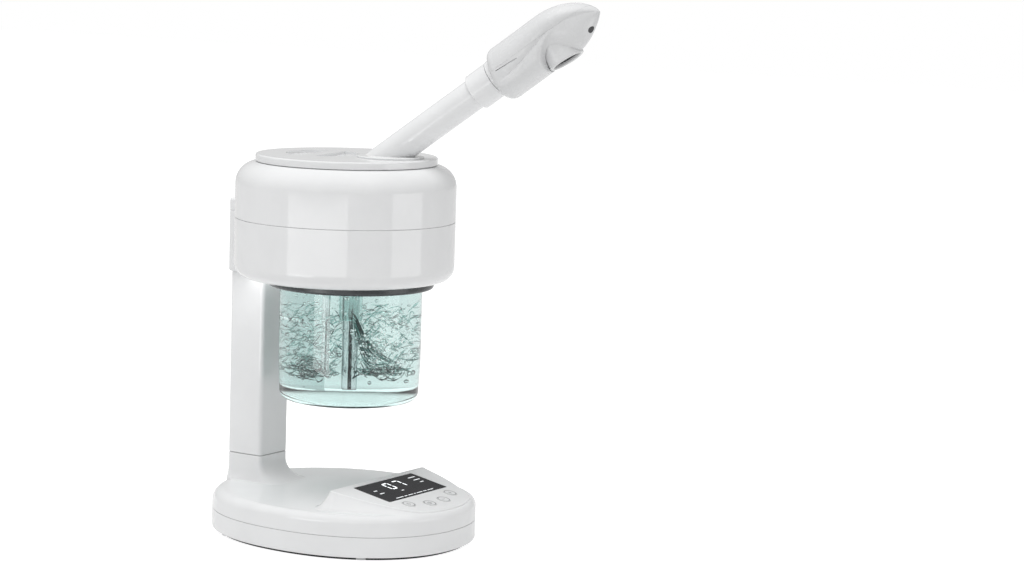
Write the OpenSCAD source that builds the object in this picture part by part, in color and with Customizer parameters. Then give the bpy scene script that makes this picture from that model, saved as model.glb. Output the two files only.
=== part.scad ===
// Desktop facial steamer: a base with a sloping key panel, a rear column that carries a round
// boiler head, a glass jar hung under the head, and a turning lid with a steam arm and nozzle.
// Millimetres. +Z is up, the user sits towards -Y, and the origin is on the floor under the
// head's axis.

/* [Base] */
// Half length of the oval base, front to back
base_a = 93.7; // [92:0.1:97]
// Half width of the oval base
base_b = 78.1; // [76:0.1:80]
// Height of the flat top of the base
base_h = 30.2; // [29.5:0.1:31]
// Height of the seam between the base's two shells
base_seam = 16; // [15:0.5:17]
// Wall thickness of the moulded shells
wall = 2.4; // [2:0.1:2.6]
// Height that the soft pad holds the base off the floor
foot_gap = 1.8; // [1.5:0.1:2.2]
// Height of the cable gland's axis
gland_z = 10.5; // [10.4:0.1:10.6]

/* [Panel] */
// Slope of the key panel
panel_tilt = 10.3; // [9.5:0.1:10.5]
// Height of the panel's centre
panel_z = 38.5; // [38:0.1:39]
// Width of the display window
window_w = 68; // [64:1:70]
// Depth of the display window along the slope
window_d = 31; // [29:0.5:31]
// Radius of a round key
key_r = 4.75; // [4.4:0.05:5]
// Travel of a key
key_travel = 0.8; // [0.4:0.1:0.8]

/* [Column] */
// Width of the column
col_w = 31; // [30:0.5:31]
// Depth of the column, front to back
col_d = 29.2; // [28.6:0.1:29.2]
// Height of the seam between pedestal and column
col_seam = 47.9; // [46:0.1:50]

/* [Head] */
// Outer radius of the boiler head
head_r = 75; // [74.5:0.1:76]
// Height of the head's underside
head_z = 177; // [177:0.1:177.5]
// Height of the seam between the head's two shells
head_seam = 217.6; // [214:0.1:219]
// Height of the lid's top face
lid_top = 261.1; // [260:0.1:262]
// Radius of the turning lid
lid_r = 61.7; // [61:0.1:62.5]

/* [Jar] */
// Outer radius of the glass jar
jar_r = 48.5; // [48:0.1:48.5]
// Height of the jar's bottom
jar_z = 94.6; // [93:0.1:96]
// Thickness of the glass
glass = 2.4; // [2:0.1:3]
// Distance of the jar's axis in front of the head's axis
jar_offset = 6.2; // [6:0.1:6.4]
// Outer radius of the dark jar collar
collar_r = 56.2; // [55:0.1:56.6]

/* [Arm and nozzle] */
// Angle that the lid and arm are turned to the user's right
arm_turn = 12; // [-40:1:40]
// Rise of the arm above level
arm_rise = 36.5; // [36:0.1:38]
// Distance of the arm's foot from the head's axis
arm_reach = 30; // [29.5:0.1:31]
// Distance of the arm collar's centre from the head's axis
collar_reach = 32; // [31:0.5:32]
// Outer radius of the arm tube
tube_r = 10.5; // [10:0.1:10.5]
// Distance along the arm at which the nozzle starts
nozzle_s = 96; // [94:0.5:98]
// Length of the nozzle shell
nozzle_len = 84.2; // [82:0.2:86]

/* [Hidden] */
$fn = 64;
eps = 0.01;
white = "#eceeee";
base_yc = -3.9;
base_n = 2.16;
oval_fn = 72;
panel_y = -51.5;
panel_back = -31;
col_y = 71.7;
col_r = 3;
slack = 0.2;
gap = 0.3;
fit = 0.08;
head_wall = 2.6;
block_w = 34;
block_back = 88;
block_z = 175.3;
block_top = 226.2;
lid_z = 256.1;
plate = 3.4;
skirt_r = 52.3;
duct_r = 12;
socket_r = jar_r + 1.1;
cap_z = 186;
gasket_z = 183.3;
neck_top = 183;
collar_z = 172.1;
heater_r = 4;
sleeve_r = 6;
heater_end = 103;
sleeve_end = 150;
probe_end = 114;
duct_y = 22;
duct_wall = 1.8;
duct_turn = 236;
lid_duct_z = 246.6;
clip_hole_r = skirt_r - 5;
probe_r = 2;
probe_spot = [-7, 4];
cutout_spot = [22, -26];
ring_r = tube_r + 2.1;
ring_s = 78.5;
ring_end = 95.4;
tube_end = 104;
seal_s = 84;
nozzle_tip = -4.5;
nozzle_end = nozzle_s + nozzle_len;
nozzle_taper_s = 140;
nozzle_wall = 2;
nozzle_bosses = [116, 166];
part_t = 2.5;
spout_s = 143.5;
spout_r = 12.5;
spout_t = -19.4;
spout_h = 13;
spout_wall = 2.4;
gland_r = 4.6;
flange_r = 5.4;
cable_r = 3.3;
loom_r = 2.4;
board_w = -9;
switch_h = 3;
display_h = 7;
key_x = [-24.4, -8.2, 8.2, 24.4];
key_v = [-24.4, -30.3, -30.3, -24.4];

// ---------- shared shapes ----------

// A power that keeps the sign of its base
function signed_pow(c, e) = sign(c) * pow(abs(c), e);

// One closed ring of the base's oval plan, drawn in from the outline by inset
function oval(inset, z) = [for (i = [0 : oval_fn - 1]) let (t = 360 * i / oval_fn)
    [(base_b - inset) * signed_pow(cos(t), 2 / base_n),
     base_yc + (base_a - inset) * signed_pow(sin(t), 2 / base_n), z]];

// A solid through closed rings that all have the same number of points
module loft(rings) {
    n = len(rings[0]);
    last = len(rings) - 1;
    sides = [for (k = [0 : last - 1], i = [0 : n - 1]) let (j = (i + 1) % n)
        [k * n + i, (k + 1) * n + i, (k + 1) * n + j, k * n + j]];
    ends = [[for (i = [0 : n - 1]) i], [for (i = [n - 1 : -1 : 0]) last * n + i]];
    polyhedron(points = [for (ring = rings) each ring], faces = concat(sides, ends), convexity = 6);
}

// A flat-ended ring with a rectangular section
module ring(outer, inner, h) {
    difference() {
        cylinder(r = outer, h = h);
        translate([0, 0, -1]) cylinder(r = inner, h = h + 2);
    }
}

// A rectangular plan with round corners, standing on z = 0
module rounded_block(w, d, h, r) {
    linear_extrude(height = h) {
        square([w - 2 * r, d], center = true);
        square([w, d - 2 * r], center = true);
        for (x = [-1, 1], y = [-1, 1])
            translate([x * (w / 2 - r), y * (d / 2 - r)]) circle(r = r, $fn = 32);
    }
}

// A pan-head screw, its head's underside at z = 0 and its shank pointing up
module screw(shank_r, length, screw_head_r, head_h) {
    difference() {
        union() {
            cylinder(r = shank_r, h = length, $fn = 24);
            translate([0, 0, -head_h]) cylinder(r = screw_head_r, h = head_h + eps, $fn = 32);
        }
        for (a = [0, 90]) rotate([0, 0, a])
            translate([-screw_head_r * 0.6, -0.4, -head_h - eps])
                cube([screw_head_r * 1.2, 0.8, head_h * 0.6]);
    }
}

// Frames: the sloping panel, the turned lid, the arm's axis (z runs up the arm) and the jar's axis
module at_panel() {
    translate([0, panel_y, panel_z]) rotate([panel_tilt, 0, 0]) children();
}
module at_lid() {
    rotate([0, 0, arm_turn]) children();
}
module at_arm() {
    at_lid() translate([0, -arm_reach, lid_top]) rotate([90 - arm_rise, 0, 0]) children();
}
module at_jar(z) {
    translate([0, -jar_offset, z]) children();
}

// ---------- base ----------

screw_spots = [[-50, 30], [50, 30], [-56, -18], [56, -18]];
boss_r = 4.4;
boss_seam = 8;
screw_seat = 5;
foot_spots = [[-54, 51], [54, 51], [-53.5, -58.5], [53.5, -58.5]];
foot_r = 6;
foot_top = foot_gap + 0.9;
pad_inset = 5;

module at_each(spots) {
    for (p = spots) translate([p[0], p[1], 0]) children();
}

// Gland frame: on the rear wall's inner face, z pointing out through the wall
module at_gland(y) {
    translate([0, base_yc + base_a - wall + y, gland_z]) rotate([-90, 0, 0]) children();
}

module base_bottom() color(white) {
    difference() {
        union() {
            difference() {
                loft([oval(3, foot_gap), oval(1.2, foot_gap + 0.5), oval(0, foot_gap + 2.2),
                    oval(0, base_seam)]);
                loft([oval(wall + 2, foot_gap + wall), oval(wall, foot_gap + wall + 2),
                    oval(wall, base_seam + 1)]);
            }
            at_each(screw_spots) translate([0, 0, foot_gap + 1])
                cylinder(r = boss_r, h = boss_seam - foot_gap - 1);
        }
        at_each(foot_spots) cylinder(r = foot_r + 0.1, h = foot_top);
        at_each(screw_spots) cylinder(r = 1.6, h = 12, $fn = 24);
        at_each(screw_spots) cylinder(r = 3.1, h = screw_seat);
        at_gland(-2) cylinder(r = gland_r + 0.05, h = 6);
        at_gland(-8) cylinder(r = flange_r + 0.1, h = 7.8);
        at_gland(wall + 0.05) cylinder(r = flange_r + 0.1, h = 3);
    }
}

// Plan of the raised panel where it meets the base's top, grown outwards by g
function panel_plan(g) = [[-55 - g, panel_back + g], [55 + g, panel_back + g], [52 + g, -46],
    [46 + g, -64], [36 + g, -84], [24, -93.5], [-24, -93.5], [-36 - g, -84], [-46 - g, -64],
    [-52 - g, -46]];

function panel_height(y) = panel_z + (y - panel_y) * tan(panel_tilt);

// The raised panel as a solid; drop lowers its sloping top and grow draws its plan in
module panel_wedge(drop, grow) {
    top = [for (p = panel_plan(-grow)) [p[0], p[1], panel_height(p[1]) - drop]];
    low = [for (p = panel_plan(6 - grow)) [p[0], max(p[1], -93.5), base_h - 6]];
    intersection() {
        hull() polyhedron(points = concat(low, top), faces = [[for (i = [0 : 9]) i],
            [for (i = [19 : -1 : 10]) i]]);
        loft([oval(2 + grow, base_h - 8), oval(2.5 + grow, base_h + 20)]);
    }
}

// Concave flare of the pedestal at height fraction f, 0 at the base's top and 1 where it ends
function flare(f) = 1 - sqrt(1 - pow(1 - f, 2));

function pedestal_ring(z, f) = let (x = col_w / 2 + 5 * flare(f),
        front = col_y - col_d / 2 - 18 * flare(f), back = col_y + col_d / 2 + 1.6 * (1 - f))
    [[-x, front, z], [x, front, z], [x, back, z], [-x, back, z]];

module base_top() color(white) {
    flare_h = 13;
    steps = 7;
    difference() {
        union() {
            loft([oval(0, base_seam), oval(0, base_h - 6), oval(0.7, base_h - 3), oval(2.4, base_h - 1.2),
                oval(5.5, base_h - 0.2), oval(12, base_h)]);
            panel_wedge(0, 0);
            loft(concat([pedestal_ring(base_h - 3, 0)],
                [for (i = [0 : steps]) pedestal_ring(base_h + flare_h * i / steps, i / steps)],
                [pedestal_ring(col_seam, 1)]));
        }
        difference() {
            union() {
                loft([oval(wall, base_seam - 1), oval(wall, base_h - 7), oval(wall + 3, base_h - wall)]);
                panel_wedge(wall, wall);
            }
            at_each(screw_spots) translate([0, 0, boss_seam]) cylinder(r = 3.4, h = 30);
        }
        at_each(screw_spots) translate([0, 0, boss_seam]) cylinder(r = 1.42, h = 16, $fn = 24);
        translate([0, col_y, base_h]) rounded_block(col_w - 2 * wall, col_d - 2 * wall, 40, 1.5);
        translate([0, col_y, base_h - 4]) cylinder(r = loom_r + 0.6, h = 6, $fn = 32);
        for (x = [-1, 1]) translate([x * foot_screw_x, col_y, base_h - 4])
            cylinder(r = 1.7, h = 6, $fn = 24);
        at_panel() {
            translate([-window_w / 2, -window_d / 2, -1.8]) cube([window_w, window_d, 8]);
            translate([-window_w / 2 + 2, -window_d / 2 + 2, -8]) cube([window_w - 4, window_d - 4, 16]);
            for (i = [0 : 3]) translate([key_x[i], key_v[i], -8]) cylinder(r = key_r + 0.15, h = 16);
            for (i = [0 : 3]) translate([key_x[i], key_v[i], -8]) cylinder(r = key_r + 1.4, h = 5.6);
        }
    }
    at_each(screw_spots) translate([0, 0, boss_seam + 0.1]) ring(3.4, 1.42, base_seam - boss_seam + 1);
    difference() {
        loft([oval(wall + slack, base_seam - 3), oval(wall + slack, base_seam + 0.2),
            oval(wall - 0.3, base_seam + 0.8), oval(wall - 0.3, base_seam + 2)]);
        loft([oval(wall + slack + 1.4, base_seam - 4), oval(wall + slack + 1.4, base_seam + 3)]);
        at_gland(-9) cylinder(r = flange_r + 0.4, h = 12);
    }
}

module foot_pad() color("#1d1e20") difference() {
    loft([oval(pad_inset, 0), oval(pad_inset, foot_gap - 0.02)]);
    at_each(foot_spots) translate([0, 0, -1]) cylinder(r = foot_r + 0.2, h = 4);
}

module feet() color("#c9cccc") at_each(foot_spots) cylinder(r = foot_r, h = foot_top - 0.02);

module base_screws() color("#8d9092")
    at_each(screw_spots) translate([0, 0, screw_seat - 0.02]) screw(1.4, 14, 2.8, 1.2);

// ---------- panel ----------

module display_lens() color("#101214")
    at_panel() translate([0, 0, -1.75]) rounded_block(window_w - 0.3, window_d - 0.3, 1.75, 1);

module display_module() color("#1c1e20")
    at_panel() translate([-25, -9.5, board_w + eps]) cube([50, 19, display_h]);

module control_board() color("#1f6b3a") {
    plan = [[-38, 17], [38, 17], [38, -20], [29, -35.5], [-29, -35.5], [-38, -20]];
    at_panel() translate([0, 0, board_w - 1.6]) linear_extrude(height = 1.6) difference() {
        polygon(plan);
        for (x = [-34, 34]) translate([x, 10]) circle(r = 1.6, $fn = 24);
    }
}

module key_switches() color("#2b2d30")
    at_panel() for (i = [0 : 3]) translate([key_x[i] - 3, key_v[i] - 3, board_w + eps])
        cube([6, 6, switch_h]);

// A round key: a cap in the panel, a flange that keeps it in, and a stem over its switch
module key(i) color(white)
    at_panel() translate([key_x[i], key_v[i], 0]) {
        translate([0, 0, -2.6]) cylinder(r = key_r, h = 2.9);
        translate([0, 0, -3.6]) cylinder(r = key_r + 0.9, h = 0.9);
        translate([0, 0, -3.6]) cylinder(r = key_r, h = 1.2);
        translate([0, 0, board_w + switch_h + key_travel + 0.25]) cylinder(r = 1.5, h = 2);
    }

module power_board() color("#1f6b3a") {
    translate([-30, -7, foot_gap + wall + 5]) cube([60, 46, 1.6]);
    translate([-24, 4, foot_gap + wall + 6.5]) color("#2f6fb0") cube([19, 15, 14]);
    translate([4, 18, foot_gap + wall + 6.5]) color("#2c8a4a") cube([20, 10, 10]);
    translate([6, -2, foot_gap + wall + 6.5]) color("#9aa0a4") cube([16, 12, 14]);
}

module cable_gland() color("#3a3d40") difference() {
    at_gland(-2.2) {
        cylinder(r = gland_r, h = 7);
        cylinder(r = flange_r, h = 1.95);
        translate([0, 0, wall + 2.3]) cylinder(r = flange_r, h = 2.3);
    }
    at_gland(-4) cylinder(r = cable_r, h = 10);
}

// ---------- column ----------

foot_plate = 6;
foot_screw_x = 8;
side_screw_z = 190;
side_screw_x = col_w / 2 - wall - 0.02;

module column() color(white) difference() {
    union() {
        translate([0, col_y, col_seam + 0.1]) rounded_block(col_w, col_d, 152, col_r);
        translate([0, col_y, base_h + 0.05])
            rounded_block(col_w - 2 * wall - slack, col_d - 2 * wall - slack, 20, 1.4);
    }
    translate([0, col_y, base_h + foot_plate])
        rounded_block(col_w - 4 * wall, col_d - 4 * wall, 180, 1);
    translate([0, col_y, col_seam + 3])
        rounded_block(col_w - 2 * wall, col_d - 2 * wall, 180, 1.2);
    for (x = [-1, 1]) translate([x * foot_screw_x, col_y, base_h - 1]) cylinder(r = 1.52, h = 9, $fn = 24);
    translate([0, col_y, base_h - 1]) cylinder(r = loom_r + 0.4, h = 9, $fn = 32);
    translate([-col_w, col_y, side_screw_z]) rotate([0, 90, 0]) cylinder(r = 1.22, h = 2 * col_w, $fn = 24);
}

module column_screws() color("#8d9092") {
    for (x = [-1, 1]) translate([x * foot_screw_x, col_y, base_h - wall - 0.02]) screw(1.5, 9, 2.7, 1.4);
    for (x = [-1, 1]) translate([x * side_screw_x, col_y, side_screw_z]) rotate([0, 90 * x, 0])
        screw(1.2, 3.6, 2.2, 1);
}

// The wires: along the base, up inside the column, and forward into the head
module wire_loom() color("#b3402f") {
    low = 22;
    high = 206;
    board_y = 33;
    cap_y = 40;
    translate([0, board_y, low]) rotate([-90, 0, 0]) cylinder(r = loom_r, h = col_y - board_y, $fn = 24);
    translate([0, col_y, low]) sphere(r = loom_r + 0.2, $fn = 24);
    translate([0, col_y, low]) cylinder(r = loom_r, h = high - low, $fn = 24);
    translate([0, col_y, high]) sphere(r = loom_r + 0.2, $fn = 24);
    translate([0, col_y, high]) rotate([90, 0, 0]) cylinder(r = loom_r, h = col_y - cap_y, $fn = 24);
    translate([0, cap_y, high]) sphere(r = loom_r + 0.2, $fn = 24);
    translate([0, cap_y, cap_z + 3.6]) cylinder(r = loom_r, h = high - cap_z - 3.6, $fn = 24);
}

// ---------- head ----------

// Half section of the head with its round lower and upper edges, drawn in by t
module head_outline(t) {
    low_r = 10;
    top_r = 15;
    polygon(concat([[0, head_z + t]],
        [for (a = [-90 : 9 : 0]) [head_r - low_r + (low_r - t) * cos(a),
            head_z + low_r + (low_r - t) * sin(a)]],
        [for (a = [0 : 6 : 90]) [head_r - top_r + (top_r - t) * cos(a),
            lid_z - 0.3 - top_r + (top_r - t) * sin(a)]],
        [[0, lid_z - 0.3 - t]]));
}

module head_shell() rotate_extrude($fn = 96) difference() {
    head_outline(0);
    head_outline(head_wall);
}

head_screw_spots = [[-52, -34], [52, -34], [-46, 42], [46, 42]];

module head_block(z0, z1) translate([0, (56 + block_back) / 2, z0])
    rounded_block(block_w, block_back - 56, z1 - z0, 3);

module head_lower() color(white) difference() {
    union() {
        intersection() {
            head_shell();
            cylinder(r = head_r + 1, h = head_seam);
        }
        translate([0, 0, head_seam - 4]) ring(head_r - head_wall + eps, head_r - head_wall - 1.2, 4);
        translate([0, 0, head_seam - 1])
            ring(head_r - head_wall - slack, head_r - head_wall - 1.2, 3.4);
        head_block(block_z, head_seam);
        for (p = head_screw_spots) translate([p[0], p[1], head_z + 1]) cylinder(r = 3.6, h = 38);
    }
    at_jar(head_z - 1) cylinder(r = socket_r, h = 5);
    translate([0, col_y, block_z - 1])
        rounded_block(col_w + 2 * slack, col_d + 2 * slack, 26, col_r + slack);
    translate([0, col_y, block_z + 20]) rounded_block(block_w - 5, block_back - col_y + 11.5, 60, 2);
    translate([-block_w / 2 + 3, 40, block_z + 26]) cube([block_w - 6, 30, 30]);
    for (p = head_screw_spots) translate([p[0], p[1], head_z - 1]) cylinder(r = 1.7, h = 60, $fn = 24);
    for (p = head_screw_spots) translate([p[0], p[1], head_z - 1]) cylinder(r = 3.1, h = 21);
    translate([-side_screw_x - 3.8, col_y, side_screw_z]) rotate([0, 90, 0])
        cylinder(r = 1.22, h = 2 * side_screw_x + 7.6, $fn = 24);
}

module head_upper() color(white) difference() {
    union() {
        intersection() {
            head_shell();
            translate([0, 0, head_seam + 0.1]) cylinder(r = head_r + 1, h = 60);
        }
        difference() {
            head_block(head_seam + 0.1, block_top);
            cylinder(r = head_r - 1, h = block_top + 1);
            translate([0, col_y, head_seam - 1])
                rounded_block(block_w - 5, block_back - col_y + 11.5, 7.5, 2);
        }
        for (p = head_screw_spots) translate([p[0], p[1], head_seam + 0.1])
            cylinder(r = 3.6, h = lid_z - head_seam - 2.2);
    }
    translate([0, 0, lid_z - 10]) cylinder(r = skirt_r + fit, h = 12, $fn = 96);
    for (p = head_screw_spots) translate([p[0], p[1], head_seam - 1]) cylinder(r = 1.42, h = 20, $fn = 24);
}

module head_screws() color("#8d9092")
    for (p = head_screw_spots) translate([p[0], p[1], head_z + 19.98]) screw(1.4, 30, 2.8, 1.4);

module jar_socket() color("#dfe2e2")
    at_jar(head_z + head_wall + 0.02) ring(54, socket_r, cap_z - head_z - head_wall - 0.04);

module boiler_cap() color("#d4d7d8") difference() {
    union() {
        at_jar(cap_z) cylinder(r = 53.8, h = 3.5);
        translate([0, duct_y, cap_z]) cylinder(r = duct_r + 2.4, h = 8);
        at_jar(cap_z) cylinder(r = 11, h = 7);
    }
    translate([0, duct_y, cap_z - 1]) cylinder(r = duct_r + 0.05, h = 12);
    at_jar(cap_z - 1) cylinder(r = heater_r + 0.02, h = 12);
    translate([each probe_spot, cap_z - 1]) cylinder(r = probe_r + 0.02, h = 12, $fn = 32);
}

module heater_rod() color("#c8ccd0")
    at_jar(heater_end) cylinder(r = heater_r, h = cap_z + 14 - heater_end);

module heater_sleeve() color("#bfe0dc")
    at_jar(sleeve_end) ring(sleeve_r, heater_r + 0.02, cap_z - sleeve_end - 0.02);

module level_probe() color("#c8ccd0")
    translate([each probe_spot, probe_end]) cylinder(r = probe_r, h = cap_z + 9 - probe_end, $fn = 32);

module thermal_cutout() color("#4a4d50") translate([each cutout_spot, cap_z]) {
    translate([0, 0, 3.52]) cylinder(r = 8, h = 5);
    translate([0, 0, 8.4]) cylinder(r = 6, h = 4);
    for (x = [-4, 4]) translate([x - 1.5, -0.4, 12]) cube([3, 0.8, 7]);
}

// Steam passage: up from the boiler cap, back over to the head's axis, and up into the lid
module duct_run(r) {
    rise = 222;
    lean = atan2(duct_y, duct_turn - rise);
    run = norm([duct_y, duct_turn - rise]);
    translate([0, duct_y, cap_z + 1]) cylinder(r = r, h = rise - cap_z - 1);
    translate([0, duct_y, rise]) sphere(r = r + 0.15);
    translate([0, duct_y, rise]) rotate([lean, 0, 0]) cylinder(r = r, h = run);
    translate([0, 0, duct_turn]) sphere(r = r + 0.15);
}

module steam_duct() color("#e3e6e6") difference() {
    union() {
        duct_run(duct_r);
        translate([0, 0, duct_turn]) cylinder(r = duct_r, h = 15);
    }
    duct_run(duct_r - duct_wall);
    translate([0, duct_y, cap_z]) cylinder(r = duct_r - duct_wall, h = 20);
    translate([0, 0, duct_turn]) cylinder(r = duct_r - duct_wall, h = 18);
}

// ---------- lid ----------

module lid_disc() color(white) at_lid() difference() {
    union() {
        rotate_extrude($fn = 96) difference() {
            polygon(concat([[0, lid_z]], [[lid_r - 0.3, lid_z]],
                [for (a = [0 : 15 : 90]) [lid_r - 1.2 + 1.2 * cos(a), lid_top - 1.2 + 1.2 * sin(a)]],
                [[0, lid_top]]));
            translate([0, lid_z - 1]) square([lid_r - 2.4, lid_top - plate - lid_z + 1]);
        }
        translate([0, 0, lid_z - 3.3]) difference() {
            cylinder(r = skirt_r, h = lid_top - plate - lid_z + 3.4, $fn = 96);
            translate([0, 0, -1]) cylinder(r = skirt_r - 2.2, h = 12);
        }
        for (a = [45 : 90 : 315]) rotate([0, 0, a]) translate([clip_hole_r, 0, lid_z - 3.3])
            cylinder(r = 3, h = lid_top - plate - lid_z + 3.4, $fn = 32);
    }
    for (a = [45 : 90 : 315]) rotate([0, 0, a]) translate([clip_hole_r, 0, lid_z - 4])
        cylinder(r = 1, h = 5, $fn = 24);
    translate([0, 18, lid_top - 1.8]) difference() {
        cylinder(r = 25, h = 3);
        translate([-30, -5, -1]) cube([60, 10, 5]);
    }
    translate([0, -arm_reach, lid_top]) rotate([90 - arm_rise, 0, 0]) translate([0, 0, -30])
        cylinder(r = tube_r + 0.05, h = 60);
}

module lid_duct() color("#e3e6e6") at_lid() difference() {
    hull() {
        translate([0, 0, lid_duct_z]) cylinder(r = 16.5, h = lid_top - plate - lid_duct_z - 0.02);
        translate([0, -collar_reach, lid_duct_z])
            cylinder(r = 17, h = lid_top - plate - lid_duct_z - 0.02);
    }
    hull() {
        translate([0, 0, lid_duct_z + duct_wall]) cylinder(r = 15, h = 20);
        translate([0, -collar_reach, lid_duct_z + duct_wall]) cylinder(r = 15.5, h = 20);
    }
    translate([0, 0, lid_duct_z - 6]) cylinder(r = duct_r + fit, h = 12);
}

module lid_clip() color("#d4d7d8") at_lid() translate([0, 0, lid_z - 5.6]) difference() {
    ring(skirt_r + 3, skirt_r - 8.3, 2.2);
    for (a = [45 : 90 : 315]) rotate([0, 0, a]) translate([clip_hole_r, 0, -1])
        cylinder(r = 1.3, h = 5, $fn = 24);
    translate([0, -collar_reach, -1]) cylinder(r = 17.3, h = 5);
}

module clip_screws() color("#8d9092") at_lid()
    for (a = [45 : 90 : 315]) rotate([0, 0, a]) translate([clip_hole_r, 0, lid_z - 5.65])
        screw(1, 6, 2, 1);

module duct_seal() color("#5a5e60") at_lid() translate([0, 0, 243.4]) ring(16, duct_r + fit, 3.15);

module arm_collar() color(white) at_lid() difference() {
    translate([0, -collar_reach, lid_top + eps]) {
        cylinder(r = 23, h = 0.9);
        cylinder(r = 22, h = 1.4);
    }
    translate([0, -arm_reach, lid_top]) rotate([90 - arm_rise, 0, 0]) translate([0, 0, -30])
        cylinder(r = tube_r + 0.05, h = 60);
}

module arm_tube() color(white) difference() {
    at_arm() difference() {
        translate([0, 0, -12]) cylinder(r = tube_r, h = tube_end + 12);
        translate([0, 0, -13]) cylinder(r = tube_r - 2, h = tube_end + 14);
        translate([0, 0, seal_s]) ring(tube_r + 1, tube_r - 1.2, 1.4);
    }
    translate([-100, -100, lid_top - 33.3]) cube([200, 200, 30]);
}

module arm_o_ring() color("#2a2c2e") at_arm() translate([0, 0, seal_s + 0.7])
    rotate_extrude($fn = 64) translate([tube_r - 0.55, 0]) circle(r = 0.59, $fn = 24);

// ---------- nozzle ----------

module coupling_ring() color(white) at_arm() difference() {
    union() {
        rotate_extrude($fn = 64) polygon([[0, ring_s], [ring_r - 1, ring_s], [ring_r, ring_s + 1.4],
            [ring_r, ring_end], [0, ring_end]]);
        translate([0, 0, ring_s]) cylinder(r = tube_r + 1.6, h = tube_end - ring_s - 1);
        translate([0, 0, nozzle_s + 2.5]) cylinder(r = 14.4, h = 2);
    }
    translate([0, 0, ring_s - 1]) cylinder(r = tube_r + fit, h = tube_end);
}

// Height of the nozzle's upper and lower outline, and half its width, at station s
function taper(s, start, power) = let (q = max(0, (s - start) / (nozzle_end - start)))
    pow(max(0, 1 - q * q), power);
function nozzle_top(s) = nozzle_tip + 22.1 * taper(s, 143, 0.62);
function nozzle_low(s) = nozzle_tip - 14.3 * taper(s, 148, 0.93);
function nozzle_half(s) = 18 * taper(s, nozzle_taper_s, 0.55);

// One ring of the nozzle's skin at station s, shrunk by t all round
function nozzle_ring(s, t, z) = let (top = nozzle_top(s) - t, low = nozzle_low(s) + t,
        half = nozzle_half(s) - t, n = 32)
    [for (i = [0 : n - 1]) let (a = 360 * i / n)
        [half * signed_pow(cos(a), 0.9), (top + low) / 2 + (top - low) / 2 * signed_pow(sin(a), 0.9), z]];

module nozzle_skin(t) {
    edge = 4 - t;
    straight = nozzle_taper_s - nozzle_s - 5;
    tip_len = nozzle_end - nozzle_taper_s;
    body = [for (f = [0 : 0.125 : 1]) nozzle_s + 5 + f * straight];
    tip = [for (a = [10 : 10 : 80]) nozzle_taper_s + tip_len * sin(a)];
    loft(concat(
        [for (a = [0 : 22.5 : 90])
            nozzle_ring(nozzle_s + 4, t + edge * (1 - sin(a)), nozzle_s + t + edge * (1 - cos(a)))],
        [for (s = body) nozzle_ring(s, t, s)],
        [for (s = tip) nozzle_ring(s, t * 0.95, s - t * (s - nozzle_taper_s) / tip_len)]));
}

module nozzle_shell() difference() {
    nozzle_skin(0);
    nozzle_skin(nozzle_wall);
    translate([0, 0, nozzle_s - 1]) cylinder(r = tube_r + 1.7, h = 10);
}

// Places its children at each screw boss, with z up across the nozzle
module at_boss(s) translate([0, 0, s]) rotate([-90, 0, 0]) children();

module nozzle_upper() color(white) at_arm() {
    intersection() {
        nozzle_shell();
        translate([-30, part_t + 0.05, nozzle_s - 2]) cube([60, 30, 100]);
    }
    for (s = nozzle_bosses) at_boss(s) translate([0, 0, part_t + 0.05])
        ring(2.4, 1.02, nozzle_top(s) - part_t - 1);
}

module nozzle_lower() color(white) at_arm() {
    difference() {
        intersection() {
            nozzle_shell();
            translate([-30, part_t - 30, nozzle_s - 2]) cube([60, 30, 100]);
        }
        translate([0, spout_t - 4, spout_s]) rotate([-90, 0, 0]) cylinder(r = spout_r + 0.05, h = 20);
        for (s = nozzle_bosses) at_boss(s) translate([0, 0, -25]) cylinder(r = 2.4, h = 24);
    }
    for (s = nozzle_bosses) at_boss(s) translate([0, 0, nozzle_low(s) + 1]) difference() {
        cylinder(r = 3.4, h = part_t - nozzle_low(s) - 1.05);
        translate([0, 0, -1]) cylinder(r = 1.3, h = 30, $fn = 24);
        translate([0, 0, -2]) cylinder(r = 2.4, h = -nozzle_low(s) - 3);
    }
}

module nozzle_screws() color("#8d9092") at_arm()
    for (s = nozzle_bosses) at_boss(s) translate([0, 0, -4.02]) screw(1, 12, 2.1, 1.2);

module spout_ring() color(white) at_arm() translate([0, spout_t, spout_s]) rotate([-90, 0, 0])
    rotate_extrude($fn = 64) polygon(concat([[spout_r - spout_wall, spout_h], [spout_r - spout_wall, 3]],
        [for (a = [270 : 30 : 360]) [spout_r - 1.2 + 1.2 * cos(a), 1.2 + 1.2 * sin(a)]],
        [[spout_r, spout_h]]));

// ---------- jar ----------

module jar_gasket() color("#d9dcdc") at_jar(gasket_z) ring(48.9, 45.2, 2.4);

// Section of the jar: a straight wall with round corners between wall and floor
module jar_section(t) {
    corner = 6;
    polygon(concat([[0, jar_z + t]],
        [for (a = [-90 : 15 : 0]) [jar_r - 1 - corner + (corner - t) * cos(a),
            jar_z + corner + (corner - t) * sin(a)]],
        [[jar_r - t, 174], [0, 174]]));
}

module jar_glass() color("#cfeae8", 0.4) translate([0, -jar_offset, 0]) difference() {
    rotate_extrude($fn = 96) jar_section(0);
    rotate_extrude($fn = 96) union() {
        jar_section(glass);
        translate([0, 150]) square([jar_r - glass, 30]);
    }
}

module jar_collar() color("#3f4446") at_jar(0) rotate_extrude($fn = 96)
    polygon([[jar_r + 0.03, collar_z + 0.6], [jar_r + 1.2, collar_z], [collar_r - 1.8, collar_z],
        [collar_r, collar_z + 1.8], [collar_r, head_z - gap], [socket_r - 0.4, head_z - gap],
        [socket_r - 0.4, neck_top], [jar_r - glass - 1, neck_top], [jar_r - glass - 1, 174.03],
        [jar_r + 0.03, 174.03]]);

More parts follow.
